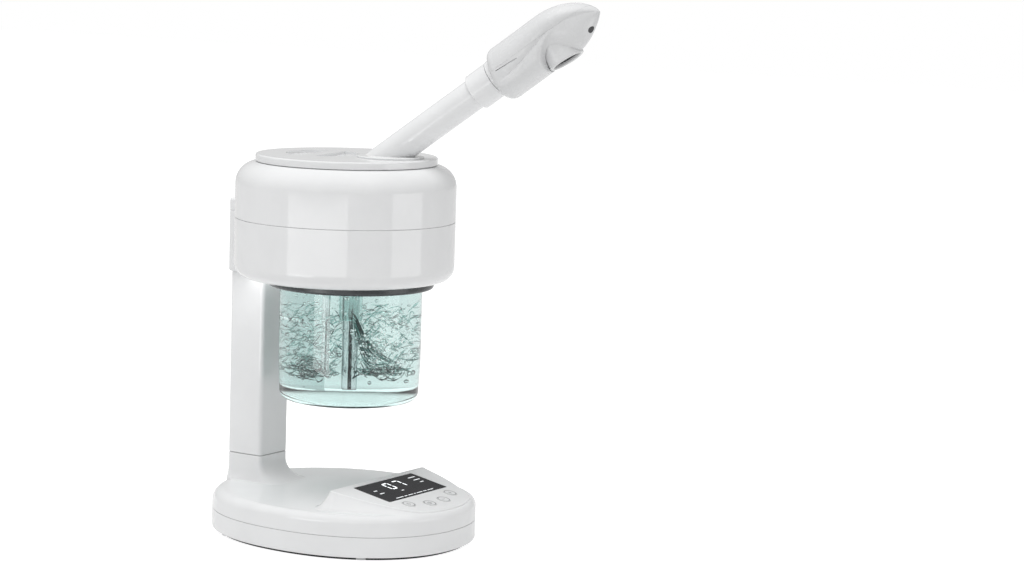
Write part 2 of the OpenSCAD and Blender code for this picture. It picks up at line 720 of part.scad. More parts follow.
base_bottom();
base_top();
foot_pad();
feet();
base_screws();
display_lens();
display_module();
control_board();
key_switches();
power_board();
cable_gland();
column();
column_screws();
wire_loom();
head_lower();
head_upper();
head_screws();
jar_socket();
boiler_cap();
heater_rod();
heater_sleeve();
level_probe();
thermal_cutout();
steam_duct();
lid_disc();
lid_duct();
lid_clip();
clip_screws();
duct_seal();
arm_collar();
arm_tube();
arm_o_ring();
coupling_ring();
nozzle_upper();
nozzle_lower();
nozzle_screws();
spout_ring();
jar_gasket();
jar_glass();
jar_collar();
key(0);  // key_1
key(1);  // key_2
key(2);  // key_3
key(3);  // key_4
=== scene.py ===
import random
from math import atan2, copysign, cos, degrees, dist, hypot, pi, radians, sin, sqrt, tan

import bmesh
import bpy
from mathutils import Matrix, Vector


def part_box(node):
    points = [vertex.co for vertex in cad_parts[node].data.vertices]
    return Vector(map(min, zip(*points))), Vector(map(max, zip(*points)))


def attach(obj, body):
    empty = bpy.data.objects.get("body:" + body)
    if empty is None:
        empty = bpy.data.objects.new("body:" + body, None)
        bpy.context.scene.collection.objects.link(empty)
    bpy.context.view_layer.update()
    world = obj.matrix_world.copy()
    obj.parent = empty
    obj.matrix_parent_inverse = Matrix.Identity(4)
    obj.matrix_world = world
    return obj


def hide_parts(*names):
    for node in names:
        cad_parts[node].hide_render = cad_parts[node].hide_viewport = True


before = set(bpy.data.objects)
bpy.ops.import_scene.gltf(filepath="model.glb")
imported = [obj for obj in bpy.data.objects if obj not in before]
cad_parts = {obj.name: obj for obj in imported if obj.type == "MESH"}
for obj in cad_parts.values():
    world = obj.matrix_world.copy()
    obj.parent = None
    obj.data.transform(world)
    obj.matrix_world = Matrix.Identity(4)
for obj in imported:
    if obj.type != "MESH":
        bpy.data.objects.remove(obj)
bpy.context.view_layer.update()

MM = 0.001
SEGMENTS = 192
random.seed(7)


def span(node):
    """Lowest and highest corner of a model node, in millimetres."""
    low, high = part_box(node)
    return low / MM, high / MM


def at(x, y, z=0):
    return Matrix.Translation((x, y, z))


def about_x(angle):
    return Matrix.Rotation(angle, 4, "X")


# ---------- sizes, from the frame where it holds them ----------

BASE_LOW, BASE_HIGH = span("base_bottom")
BASE_B = BASE_HIGH.x
BASE_A = (BASE_HIGH.y - BASE_LOW.y) / 2
BASE_YC = (BASE_HIGH.y + BASE_LOW.y) / 2
BASE_SEAM = BASE_HIGH.z
BASE_UNDER = BASE_LOW.z
BASE_TOP = 30.2
BASE_POWER = 2.16
WALL = 2.4
SEAM_LIP = 0.15
SEAM_GAP = 0.12

PEDESTAL_TOP = span("base_top")[1].z
COLUMN_LOW, COLUMN_HIGH = span("column")
COLUMN_W = COLUMN_HIGH.x - COLUMN_LOW.x
COLUMN_D = COLUMN_HIGH.y - COLUMN_LOW.y
COLUMN_Y = (COLUMN_HIGH.y + COLUMN_LOW.y) / 2
COLUMN_R = 3

HEAD_LOW, HEAD_HIGH = span("head_upper")
HEAD_R, HEAD_BACK, HEAD_TOP = HEAD_HIGH
HEAD_SEAM = HEAD_LOW.z
HEAD_UNDER = 177
BLOCK_UNDER = span("head_lower")[0].z
BLOCK_TOP = 226.2
BLOCK_W = 34
SHOULDER_R = 15

LID_R = span("lid_disc")[1].x
LID_TOP = span("lid_disc")[1].z
LID_UNDER = 256.1
SKIRT_R = 52.3

GLASS_LOW, GLASS_HIGH = span("jar_glass")
JAR_R = GLASS_HIGH.x
JAR_Y = (GLASS_HIGH.y + GLASS_LOW.y) / 2
JAR_UNDER = GLASS_LOW.z
JAR_TOP = GLASS_HIGH.z
GLASS = 2.4
COLLAR_LOW, COLLAR_HIGH = span("jar_collar")
COLLAR_R = COLLAR_HIGH.x

HEATER_LOW, HEATER_HIGH = span("heater_rod")
HEATER_R = HEATER_HIGH.x

PANEL_TILT = radians(10.3)
PANEL_Y = -51.5
PANEL_Z = 38.5
KEY_R = 4.75
WINDOW = (68, 31)
KEY_SPOTS = [(-24.4, -24.4), (-8.2, -30.3), (8.2, -30.3), (24.4, -24.4)]

ARM_TURN = radians(12)
ARM_RISE = radians(36.5)
ARM_REACH = 30
COLLAR_REACH = 32
TUBE_R = 10.5
RING_START, RING_END = 78.5, 95.4
RING_R = TUBE_R + 2.1
NOZZLE_START, NOZZLE_END = 96, 180.2
SPOUT_S, SPOUT_R, SPOUT_LOW = 143.5, 12.5, -18.9
SPOUT_LEAN = 2
PART_T = 2.5

# Frames of the parts that stand at an angle
AT_PANEL = at(0, PANEL_Y, PANEL_Z) @ about_x(PANEL_TILT)
AT_LID = Matrix.Rotation(ARM_TURN, 4, "Z")
AT_ARM = AT_LID @ at(0, -ARM_REACH, LID_TOP) @ about_x(pi / 2 - ARM_RISE)
AT_JAR = at(0, JAR_Y)
AT_COLUMN = at(0, COLUMN_Y)


# ---------- small curve tools ----------

def smooth(x, low, high):
    """0 below low, 1 above high, and a soft step between."""
    q = min(1, max(0, (x - low) / (high - low)))
    return q * q * (3 - 2 * q)


def signed_power(c, e):
    return copysign(abs(c) ** e, c)


def arc(cx, cy, r, start, end, steps):
    """Points of an arc, angles in degrees."""
    return [(cx + r * cos(radians(start + (end - start) * i / steps)),
             cy + r * sin(radians(start + (end - start) * i / steps)))
            for i in range(steps + 1)]


def through(points, x):
    """Height at x of a smooth line through points that are sorted by x."""
    last = len(points) - 1
    k = max(0, min(last - 1, sum(1 for p in points if p[0] <= x) - 1))
    (x0, y0), (x1, y1) = points[k], points[k + 1]
    before = points[max(0, k - 1)]
    after = points[min(last, k + 2)]
    m0 = (y1 - before[1]) / max(1e-6, x1 - before[0])
    m1 = (after[1] - y0) / max(1e-6, after[0] - x0)
    q = min(1, max(0, (x - x0) / (x1 - x0)))
    h = x1 - x0
    return ((1 + 2 * q) * (1 - q) ** 2 * y0 + q * (1 - q) ** 2 * h * m0
            + q * q * (3 - 2 * q) * y1 + q * q * (q - 1) * h * m1)


def rounded_outline(corners, steps=8):
    """A closed outline from corners (x, y, radius), each turned into an arc."""
    outline = []
    count = len(corners)
    for i, (x, y, r) in enumerate(corners):
        here = Vector((x, y))
        to_last = (Vector(corners[i - 1][:2]) - here).normalized()
        to_next = (Vector(corners[(i + 1) % count][:2]) - here).normalized()
        if r < 1e-6:
            outline.append((x, y))
            continue
        half = to_last.angle(to_next) / 2
        centre = here + (to_last + to_next).normalized() * (r / sin(half))
        a = here + to_last * (r / tan(half)) - centre
        b = here + to_next * (r / tan(half)) - centre
        turn = a.angle_signed(b)
        for k in range(steps + 1):
            p = a.copy()
            p.rotate(Matrix.Rotation(-turn * k / steps, 2))
            outline.append(tuple(centre + p))
    return outline


# ---------- mesh tools ----------

def add_object(name, data):
    thing = bpy.data.objects.new(name, data)
    bpy.context.scene.collection.objects.link(thing)
    return thing


def new_piece(name, points, faces, place=Matrix.Identity(4), sharp=32):
    """A closed mesh object from points in millimetres, with its normals set outward; finish_shading shades
    it smooth.
    """
    mesh = bpy.data.meshes.new(name)
    to_metres = Matrix.Scale(MM, 4) @ place
    mesh.from_pydata([to_metres @ Vector(p) for p in points], [], faces)
    bm = bmesh.new()
    bm.from_mesh(mesh)
    bmesh.ops.remove_doubles(bm, verts=bm.verts, dist=1e-7)
    bmesh.ops.recalc_face_normals(bm, faces=bm.faces)
    bm.to_mesh(mesh)
    bm.free()
    piece = add_object(name, mesh)
    piece["sharp"] = sharp
    return piece


def loft(rings, closed=False):
    """Points and faces through rings of equal length. Open lofts are capped at both ends."""
    n = len(rings[0])
    points = [p for ring in rings for p in ring]
    faces = []
    count = len(rings)
    for k in range(count if closed else count - 1):
        low, high = k * n, (k + 1) % count * n
        for i in range(n):
            j = (i + 1) % n
            faces.append((low + i, low + j, high + j, high + i))
    if not closed:
        faces.append(tuple(range(n)))
        faces.append(tuple((count - 1) * n + i for i in range(n)))
    return points, faces


def lathe(profile, closed=False, segments=SEGMENTS):
    """Points and faces of a turned solid. Profile points are (radius, height); an open profile
    starts and ends on the axis, and a closed one is the section of a ring."""
    points, faces, rows = [], [], []
    for r, z in profile:
        if r < 1e-6:
            rows.append([len(points)] * segments)
            points.append((0, 0, z))
        else:
            rows.append([len(points) + i for i in range(segments)])
            points += [(r * cos(2 * pi * i / segments), r * sin(2 * pi * i / segments), z)
                       for i in range(segments)]
    for k in range(len(rows) if closed else len(rows) - 1):
        a, b = rows[k], rows[(k + 1) % len(rows)]
        for i in range(segments):
            j = (i + 1) % segments
            face = [a[i], a[j], b[j], b[i]]
            unique = [v for m, v in enumerate(face) if v != face[m - 1]]
            if len(unique) > 2:
                faces.append(tuple(unique))
    return points, faces


def prism(outline, low, high):
    """Points and faces of an upright prism over an outline in x and y."""
    return loft([[(x, y, low) for x, y in outline], [(x, y, high) for x, y in outline]])


def pillow_prism(outline_at, low, high, low_edge, high_edge, steps=5):
    """A prism with rounded lower and upper edges. outline_at(inset) gives its outline."""
    rings = []
    upward = range(steps + 1)
    for z, edge, order in ((low + low_edge, -low_edge, upward[::-1]), (high - high_edge, high_edge, upward)):
        for k in order:
            a = pi / 2 * k / steps
            outline = outline_at(abs(edge) * (1 - cos(a)))
            rings.append([(x, y, z + edge * sin(a)) for x, y in outline])
    return loft(rings)


def box_outline(w, d, r, inset=0):
    x, y = w / 2 - inset, d / 2 - inset
    radius = max(0.05, r - inset)
    return rounded_outline([(-x, -y, radius), (x, -y, radius), (x, y, radius), (-x, y, radius)])


def tool(shape, place=Matrix.Identity(4)):
    """A cutting tool, which is removed after use."""
    return new_piece("tool", *shape, place)


def apply_modifiers(piece):
    bpy.context.view_layer.update()
    evaluated = piece.evaluated_get(bpy.context.evaluated_depsgraph_get())
    result = bpy.data.meshes.new_from_object(evaluated)
    piece.modifiers.clear()
    piece.data = result


def combine(piece, tools, operation="DIFFERENCE"):
    """Cuts tools from the piece, or joins them to it, and removes the tools."""
    for cutter in tools:
        step = piece.modifiers.new("combine", "BOOLEAN")
        step.operation = operation
        step.solver = "EXACT"
        step.object = cutter
    apply_modifiers(piece)
    for cutter in tools:
        bpy.data.objects.remove(cutter)


def finish_shading(piece):
    """Smooth shading with crisp edges, and normals that keep the large faces flat."""
    mesh = piece.data
    bm = bmesh.new()
    bm.from_mesh(mesh)
    bmesh.ops.remove_doubles(bm, verts=bm.verts, dist=2e-7)
    bmesh.ops.dissolve_degenerate(bm, edges=bm.edges, dist=1e-7)
    bm.to_mesh(mesh)
    bm.free()
    mesh.shade_smooth()
    mesh.set_sharp_from_angle(angle=radians(piece["sharp"]))
    weigh = piece.modifiers.new("weigh", "WEIGHTED_NORMAL")
    weigh.keep_sharp = True
    apply_modifiers(piece)
    piece.data.name = piece.name


def dress(piece, body, slot, material, *nodes):
    """Finishes a piece: its shading, its material, its body and what it stands for. The slot is not used."""
    finish_shading(piece)
    piece.data.materials.clear()
    piece.data.materials.append(material)
    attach(piece, body)
    if nodes:
        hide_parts(*nodes)


def dress_white(piece, body, *nodes):
    dress(piece, body, "white_shell", WHITE, *nodes)


def moved(shape, x, y):
    return [(px + x, py + y, pz) for px, py, pz in shape[0]], shape[1]


def join_shapes(shapes):
    points, faces = [], []
    for shape_points, shape_faces in shapes:
        start = len(points)
        points += shape_points
        faces += [tuple(start + i for i in face) for face in shape_faces]
    return points, faces


# ---------- materials ----------

def new_material(name):
    material = bpy.data.materials.new(name)
    material.use_nodes = True
    nodes = material.node_tree.nodes
    return material, nodes, material.node_tree.links, nodes["Principled BSDF"]


def set_sockets(node, **sockets):
    """Sets a node's input sockets. An underscore stands for the space in a socket's name."""
    for name, value in sockets.items():
        node.inputs[name.replace("_", " ")].default_value = value
    return node


def noise(nodes, links, scale, detail=2.0, stretch=(1, 1, 1)):
    """The value of a noise texture fixed to the object, with scale in cells per metre."""
    place = nodes.new("ShaderNodeTexCoord")
    mapping = set_sockets(nodes.new("ShaderNodeMapping"), Scale=stretch)
    texture = set_sockets(nodes.new("ShaderNodeTexNoise"), Scale=scale, Detail=detail)
    links.new(place.outputs["Object"], mapping.inputs["Vector"])
    links.new(mapping.outputs["Vector"], texture.inputs["Vector"])
    return texture.outputs["Fac"]


def ranged(nodes, links, value, low, high, lowest=0.3, highest=0.7):
    """Maps a value between lowest and highest to between low and high."""
    step = nodes.new("ShaderNodeMapRange")
    set_sockets(step, From_Min=lowest, From_Max=highest, To_Min=low, To_Max=high)
    links.new(value, step.inputs["Value"])
    return step.outputs["Result"]


def mixed_colour(nodes, links, factor, first, second):
    ramp = nodes.new("ShaderNodeValToRGB")
    stops = zip(ramp.color_ramp.elements, (0.35, 0.65), (first, second))
    for stop, position, colour in stops:
        stop.position = position
        stop.color = (*colour, 1)
    links.new(factor, ramp.inputs["Fac"])
    return ramp.outputs["Color"]


def bumped(nodes, links, shader, height, strength, depth):
    bump = set_sockets(nodes.new("ShaderNodeBump"), Strength=strength, Distance=depth)
    links.new(height, bump.inputs["Height"])
    links.new(bump.outputs["Normal"], shader.inputs["Normal"])


def moulded(name, first, second, rough, spread=0.03, grain=900, relief=0.00002, strength=0.25, ior=1.5):
    """Moulded plastic or rubber: two near shades, uneven gloss and a fine skin."""
    material, nodes, links, shader = new_material(name)
    clouds = mixed_colour(nodes, links, noise(nodes, links, 38, 3.0), first, second)
    links.new(clouds, shader.inputs["Base Color"])
    gloss = ranged(nodes, links, noise(nodes, links, 210, 4.0), rough, rough + spread)
    links.new(gloss, shader.inputs["Roughness"])
    bumped(nodes, links, shader, noise(nodes, links, grain, 1.0), strength, relief)
    set_sockets(shader, IOR=ior)
    return material


def metal(name, colour, rough, stretch=(1, 1, 1)):
    """Drawn or polished metal with fine lines along its length."""
    material, nodes, links, shader = new_material(name)
    lines = noise(nodes, links, 700, 2.0, stretch)
    shade = tuple(c * 0.93 for c in colour)
    links.new(mixed_colour(nodes, links, lines, shade, colour), shader.inputs["Base Color"])
    links.new(ranged(nodes, links, lines, rough, rough + 0.05), shader.inputs["Roughness"])
    bumped(nodes, links, shader, lines, 0.06, 0.00001)
    set_sockets(shader, Metallic=1)
    return material


def clear(name, colour, ior, rough=0.0, waves=0.0, wave_scale=120):
    """Glass or water: clear, with slow waves in its skin."""
    material, nodes, links, shader = new_material(name)
    set_sockets(shader, Base_Color=(*colour, 1), Transmission_Weight=1, IOR=ior, Roughness=rough)
    if waves:
        bumped(nodes, links, shader, noise(nodes, links, wave_scale, 2.0), waves, 0.0004)
    rays = nodes.new("ShaderNodeLightPath")
    lets_by = set_sockets(nodes.new("ShaderNodeBsdfTransparent"), Color=(*colour, 1))
    choose = nodes.new("ShaderNodeMixShader")
    links.new(rays.outputs["Is Shadow Ray"], choose.inputs[0])
    links.new(shader.outputs["BSDF"], choose.inputs[1])
    links.new(lets_by.outputs["BSDF"], choose.inputs[2])
    links.new(choose.outputs["Shader"], nodes["Material Output"].inputs["Surface"])
    return material


def tinted_volume(material, colour, density):
    nodes = material.node_tree.nodes
    absorb = nodes.new("ShaderNodeVolumeAbsorption")
    set_sockets(absorb, Color=(*colour, 1), Density=density)
    material.node_tree.links.new(absorb.outputs["Volume"], nodes["Material Output"].inputs["Volume"])


def lit(name, colour, glow):
    """A surface that glows a little unevenly, like a lamp behind a window; also used for painted glints."""
    material, nodes, links, shader = new_material(name)
    dim = tuple(c * 0.9 for c in colour)
    shade = mixed_colour(nodes, links, noise(nodes, links, 500, 2.0), dim, colour)
    links.new(shade, shader.inputs["Base Color"])
    links.new(shade, shader.inputs["Emission Color"])
    set_sockets(shader, Emission_Strength=glow, Roughness=0.3)
    return material


WHITE = moulded("white_abs", (0.775, 0.78, 0.785), (0.80, 0.805, 0.81), 0.07, 0.025, 240, 0.00001, 0.1)
KEY_WHITE = moulded("white_key", (0.76, 0.765, 0.77), (0.79, 0.795, 0.80), 0.16, 0.05)
# The nozzle's white: rougher than the body's, and set darker than it as painted shade.
SHADED_SATIN = moulded("satin_abs_shaded", (0.68, 0.685, 0.69), (0.705, 0.71, 0.715), 0.24, 0.05, 240, 0.00001, 0.1)
ICON_GREY = moulded("icon_grey", (0.15, 0.155, 0.16), (0.19, 0.195, 0.20), 0.35, 0.1)
WINDOW_BLACK = moulded("window_black", (0.012, 0.012, 0.014), (0.017, 0.017, 0.019), 0.04, 0.02, 500,
                       0.000004, 0.05, ior=1.13)
COLLAR_DARK = moulded("collar_dark", (0.02, 0.024, 0.026), (0.035, 0.04, 0.042), 0.22, 0.08)
PAD_BLACK = moulded("pad_black", (0.012, 0.012, 0.013), (0.022, 0.022, 0.023), 0.75, 0.15, 1500, 0.0001, 0.6)
FOOT_GREY = moulded("foot_grey", (0.50, 0.505, 0.51), (0.57, 0.575, 0.58), 0.55, 0.12, 1200, 0.00005, 0.4)
INNER_WHITE = moulded("inner_white", (0.62, 0.63, 0.63), (0.68, 0.69, 0.69), 0.4, 0.1)
SEAL = moulded("seal_silicone", (0.55, 0.56, 0.56), (0.62, 0.63, 0.63), 0.5, 0.1)
# Black of the electronic modules; the same black is painted shade in the spout's outlet and the nozzle's
# vent.
MODULE_AND_SHADE_BLACK = moulded("module_black", (0.03, 0.03, 0.033), (0.05, 0.05, 0.053), 0.5, 0.15)
GLAND_RUBBER = moulded("gland_rubber", (0.05, 0.05, 0.055), (0.08, 0.08, 0.085), 0.6, 0.15, 1400,
                       0.00006, 0.4)
BOARD_GREEN = moulded("board_green", (0.02, 0.14, 0.06), (0.03, 0.20, 0.09), 0.35, 0.1, 800)
WIRE_RED = moulded("wire_red", (0.35, 0.05, 0.03), (0.45, 0.08, 0.05), 0.45, 0.1)
SCREW_STEEL = metal("screw_steel", (0.56, 0.57, 0.58), 0.28)
POLISHED = metal("polished_steel", (0.80, 0.81, 0.82), 0.03, (1, 1, 0.05))
WATER_IOR = 1.333
GLASS_CLEAR = clear("jar_glass", (0.97, 0.995, 0.99), 1.45)
WATER = clear("water", (0.96, 0.99, 0.99), WATER_IOR, 0.0, 0.25, 60)
tinted_volume(WATER, (0.36, 0.70, 0.67), 6.5)
AIR = clear("air_in_water", (0.93, 0.98, 0.97), 1 / WATER_IOR)
# Air streaks that bend light like real air, tinted dark teal as painted shade; the ripples less dark.
SWIRL = clear("swirl_in_water", (0.08, 0.27, 0.24), 1 / WATER_IOR)
RIPPLE = clear("ripple_in_water", (0.42, 0.64, 0.61), 1 / WATER_IOR)
# Opaque dark teal streaks: painted shade for the dark edges that air in boiling water shows.
SHADE_STREAK = moulded("painted_shade_teal", (0.004, 0.04, 0.036), (0.008, 0.06, 0.055), 0.2, 0.1)
# Glowing white specks: painted glints of light on the air in the water.
GLINT_GLOW = lit("painted_glint_white", (0.86, 0.93, 0.92), 0.55)
SLEEVE = clear("sleeve_silicone", (0.74, 0.86, 0.84), 1.20, 0.06, 0.2, 300)
DIGIT_WHITE = lit("digit_white", (0.9, 0.93, 0.95), 1.1)
MARK_WHITE = lit("mark_white", (0.8, 0.82, 0.84), 0.45)


# ---------- camera ----------

CAMERA_PLACE = (-1497.82, -1097.37, 413.74)
CAMERA_AZIMUTH = radians(-57.311)
CAMERA_PITCH = radians(7.375)
CAMERA_ROLL = radians(1.777)
CAMERA_LENS = 96.35


def make_camera():
    forward = Vector((-sin(CAMERA_AZIMUTH) * cos(CAMERA_PITCH),
                      cos(CAMERA_AZIMUTH) * cos(CAMERA_PITCH), -sin(CAMERA_PITCH)))
    level = forward.cross(Vector((0, 0, 1))).normalized()
    upright = level.cross(forward)
    right = level * cos(CAMERA_ROLL) + upright * sin(CAMERA_ROLL)
    up = upright * cos(CAMERA_ROLL) - level * sin(CAMERA_ROLL)
    camera = add_object("camera", bpy.data.cameras.new("camera"))
    camera.data.lens = CAMERA_LENS
    camera.data.sensor_width = 36
    camera.data.clip_end = 50
    turn = Matrix((right, up, -forward)).transposed().to_4x4()
    camera.matrix_world = Matrix.Translation(Vector(CAMERA_PLACE) * MM) @ turn
    bpy.context.scene.camera = camera


make_camera()


# ---------- base ----------

def oval_point(inset, t):
    """A point of the base's oval plan at angle t in degrees."""
    c, s = cos(radians(t)), sin(radians(t))
    return ((BASE_B - inset) * signed_power(c, 2 / BASE_POWER),
            BASE_YC + (BASE_A - inset) * signed_power(s, 2 / BASE_POWER))


def oval_reach(x, y, inset):
    """1 on the base's outline drawn in by inset, less inside it and more outside."""
    return ((abs(x) / (BASE_B - inset)) ** BASE_POWER
            + (abs(y - BASE_YC) / (BASE_A - inset)) ** BASE_POWER) ** (1 / BASE_POWER)


def oval_ring(inset, z, n=240):
    """A ring of the base's oval. inset and z are numbers, or functions of the angle in degrees."""
    ring = []
    for i in range(n):
        t = 360 * i / n
        ring.append((*oval_point(inset(t) if callable(inset) else inset, t), z(t) if callable(z) else z))
    return ring


def rim_r(t):
    """Radius of the base's upper edge: it grows towards the rear."""
    return 5.5 + 4.5 * smooth(sin(radians(t)), 0.0, 1.0)


def rim_ring(a):
    """A ring of the upper edge's rounding, a degrees up from the side wall."""
    c, s = cos(radians(a)), sin(radians(a))
    return oval_ring(lambda t: rim_r(t) * (1 - c), lambda t: BASE_TOP - rim_r(t) * (1 - s))


def rim_height(x, y):
    """Height of the base's upper surface over a point of its plan."""
    low, high = 0.0, 12.0
    if oval_reach(x, y, high) < 1:
        return BASE_TOP
    for _ in range(24):
        middle = (low + high) / 2
        low, high = (middle, high) if oval_reach(x, y, middle) < 1 else (low, middle)
    r = rim_r(degrees(atan2((y - BASE_YC) / BASE_A, x / BASE_B)))
    inside = min(r, low)
    return BASE_TOP - r + sqrt(max(0, r * r - (r - inside) ** 2))


FOOT_SPOTS = [(-54, 51), (54, 51), (-53.5, -58.5), (53.5, -58.5)]
SCREW_SPOTS = [(-50, 30), (50, 30), (-56, -18), (56, -18)]


def disc(r, low, high, segments=48):
    return lathe([(0, low), (r, low), (r, high), (0, high)], segments=segments)


def build_base_bottom():
    floor = BASE_UNDER + WALL
    outer = [oval_ring(3, BASE_UNDER)]
    for angle in range(12, 91, 13):
        a = radians(angle)
        outer.append(oval_ring(3 * (1 - sin(a)), BASE_UNDER + 2.4 * (1 - cos(a))))
    seam = BASE_SEAM - SEAM_GAP
    outer += [oval_ring(0, BASE_SEAM - SEAM_LIP - 0.1), oval_ring(SEAM_LIP, seam)]
    inner = [oval_ring(WALL, seam), oval_ring(WALL, floor + 2), oval_ring(WALL + 2, floor)]
    piece = new_piece("base_tray", *loft(outer + inner))
    tools = [tool(disc(6.1, -1, BASE_UNDER + 0.9), at(x, y)) for x, y in FOOT_SPOTS]
    tools += [tool(disc(3.1, -1, BASE_UNDER + 1.3, 32), at(x, y)) for x, y in SCREW_SPOTS]
    gland = at(0, BASE_YC + BASE_A, 10.5) @ about_x(-pi / 2)
    tools.append(tool(disc(4.65, -6, 6), gland))
    combine(piece, tools)
    dress_white(piece, "stand", "base_bottom")


# The panel's left edge from the rear corner to the middle of the front
PANEL_SIDE = [(-55, -31), (-52.2, -44), (-48.5, -57), (-43.5, -69), (-37, -81), (-27, -90.5), (-13, -94.6),
              (0, -95.6)]


def panel_outline():
    """Plan of the panel's top edge, from the rear left corner round the front to the rear right."""
    fine = 10
    distance = [0.0]
    for a, b in zip(PANEL_SIDE, PANEL_SIDE[1:]):
        distance.append(distance[-1] + dist(a, b))
    xs = [(d, p[0]) for d, p in zip(distance, PANEL_SIDE)]
    ys = [(d, p[1]) for d, p in zip(distance, PANEL_SIDE)]
    total = distance[-1]
    steps = fine * (len(PANEL_SIDE) - 1)
    corner = 3.0
    side = [(through(xs, total * i / steps), through(ys, total * i / steps)) for i in range(steps + 1)]
    side = [p for p in side if dist(p, side[0]) > corner]
    rear_x, rear_y = PANEL_SIDE[0]
    left = arc(rear_x + corner, rear_y - corner, corner, 90, 175, 8) + side
    right = [(-x, y) for x, y in reversed(left[:-1])]
    back = [(-52 + 104 * i / 24, rear_y) for i in range(23, 0, -1)]
    return left + right + back


def keep_inside(x, y, inset):
    """Draws a plan point in until it lies within the base's outline."""
    f = oval_reach(x, y, inset)
    return (x, y) if f <= 1 else (x / f, BASE_YC + (y - BASE_YC) / f)


def panel_height(y):
    return PANEL_Z + (y - PANEL_Y) * tan(PANEL_TILT)


def outset(outline, distances):
    """Moves each point of an anticlockwise outline out by its own distance."""
    wider = []
    for i, (x, y) in enumerate(outline):
        before, after = outline[i - 1], outline[(i + 1) % len(outline)]
        along = Vector((after[0] - before[0], after[1] - before[1])).normalized()
        wider.append((x + along.y * distances[i], y - along.x * distances[i]))
    return wider


def panel_rings():
    """Rings of the raised panel from its top edge down its hollow flank to the base's top."""
    plan = [keep_inside(x, y, 3.2) for x, y in panel_outline()]
    edge = 1.2
    heights = [max(0.3, panel_height(y) - rim_height(x, y)) for x, y in plan]
    rings = []
    for k in range(6):
        a = pi / 2 * k / 5
        inward = outset(plan, [-min(edge, h) * (1 - sin(a)) for h in heights])
        rings.append([(x, y, panel_height(y) - min(edge, h) * (1 - cos(a)))
                      for (x, y), h in zip(inward, heights)])
    steps = 14
    for k in range(1, steps + 1):
        q = k / steps
        ring = []
        widths = [(2 + 0.75 * h) * q for h in heights]
        for (x, y), (x0, y0), h in zip(outset(plan, widths), plan, heights):
            x, y = keep_inside(x, y, 0.6)
            ground = rim_height(x, y) - 0.06
            drop = min(edge, h)
            top = panel_height(y0) - drop
            ring.append((x, y, ground + max(0, top - ground) * (1 - q) ** 2))
        rings.append(ring)
    return rings


def build_panel():
    rings = panel_rings()
    foot = [(x, y, z - 1.5) for x, y, z in rings[-1]]
    piece = new_piece("panel_housing", *loft(rings + [foot]), sharp=40)
    tools = [tool(prism(box_outline(*WINDOW, 1.2), -1.8, 8), AT_PANEL)]
    for r, top in ((KEY_R + 0.15, 8), (KEY_R + 1.4, -2.4)):
        tools += [tool(disc(r, -20, top, 64), AT_PANEL @ at(x, v)) for x, v in KEY_SPOTS]
    combine(piece, tools)
    dress_white(piece, "stand")


def column_bore(low):
    """The tool that clears the room of the wires inside the column's foot."""
    return tool(prism(box_outline(COLUMN_W - 2 * WALL, COLUMN_D - 2 * WALL, 1.5), low, 60), AT_COLUMN)


def pedestal_ring(z, q):
    """Plan of the pedestal where q is its height share, 0 at the base and 1 where it is straight."""
    flare = 1 - sqrt(max(0, 1 - (1 - q) ** 2))
    front, side, back = 19 * flare, 5 * flare, 1.6 * flare
    x, y0, y1 = COLUMN_W / 2 + side, COLUMN_Y - COLUMN_D / 2 - front, COLUMN_Y + COLUMN_D / 2 + back
    r = COLUMN_R + 7 * flare
    return [(*p, z) for p in rounded_outline([(-x, y0, r), (x, y0, r), (x, y1, r), (-x, y1, r)])]


def build_pedestal():
    rise = 13
    steps = 12
    rings = [pedestal_ring(BASE_TOP - 2.5, 0)]
    for k in range(steps + 1):
        q = 1 - cos(pi / 2 * k / steps)
        rings.append(pedestal_ring(BASE_TOP - 0.05 + rise * q, q))
    rings.append(pedestal_ring(PEDESTAL_TOP - 0.5, 1))
    bevel = 0.985
    rings.append([(x * bevel, COLUMN_Y + (y - COLUMN_Y) * bevel, z + 0.35) for x, y, z in rings[-1]])
    piece = new_piece("pedestal", *loft(rings), sharp=40)
    combine(piece, [column_bore(BASE_TOP)])
    dress_white(piece, "stand")


def build_base_top():
    seam = BASE_SEAM + SEAM_GAP
    outer = [oval_ring(SEAM_LIP, seam), oval_ring(0, seam + SEAM_LIP)]
    outer += [rim_ring(a) for a in range(0, 91, 9)]
    piece = new_piece("base_cover", *loft(outer + [oval_ring(12, BASE_TOP)]), sharp=40)
    hollow = [oval_ring(WALL, BASE_SEAM - 1), oval_ring(WALL, BASE_TOP - 7),
              oval_ring(WALL + 3, BASE_TOP - WALL)]
    board_room = [(-40, -35), (40, -35), (40, -72), (30, -86), (-30, -86), (-40, -72)]
    board_room = prism(board_room, BASE_TOP - 6, BASE_TOP + 2)
    combine(piece, [tool(loft(hollow)), tool(board_room), column_bore(BASE_TOP - 0.3)])
    dress_white(piece, "stand", "base_top")


def build_foot_pad():
    plan = lambda inset: [(x, y) for x, y, _ in oval_ring(5 + inset, 0)]
    piece = new_piece("foot_pad_skin", *pillow_prism(plan, 0, BASE_UNDER - 0.02, 0.25, 0.25, 3))
    combine(piece, [tool(disc(6.2, -1, 3), at(x, y)) for x, y in FOOT_SPOTS])
    dress(piece, "stand", "pad_black", PAD_BLACK, "foot_pad")


build_base_bottom()
build_base_top()
build_panel()
build_pedestal()
build_foot_pad()


# ---------- display and keys ----------

def strip(x0, y0, x1, y1, w, z0, z1):
    """A flat bar between two points, with pointed ends like a lamp segment."""
    a, b = Vector((x0, y0)), Vector((x1, y1))
    along = (b - a).normalized()
    across = Vector((-along.y, along.x)) * (w / 2)
    tip = along * (w / 2)
    outline = [a, a + tip - across, b - tip - across, b, b - tip + across, a + tip + across]
    return prism([tuple(p) for p in outline], z0, z1)


DIGIT_W, DIGIT_H = 5.6, 9.6
SEGMENTS_OF = {0: "abcdef", 7: "abc"}


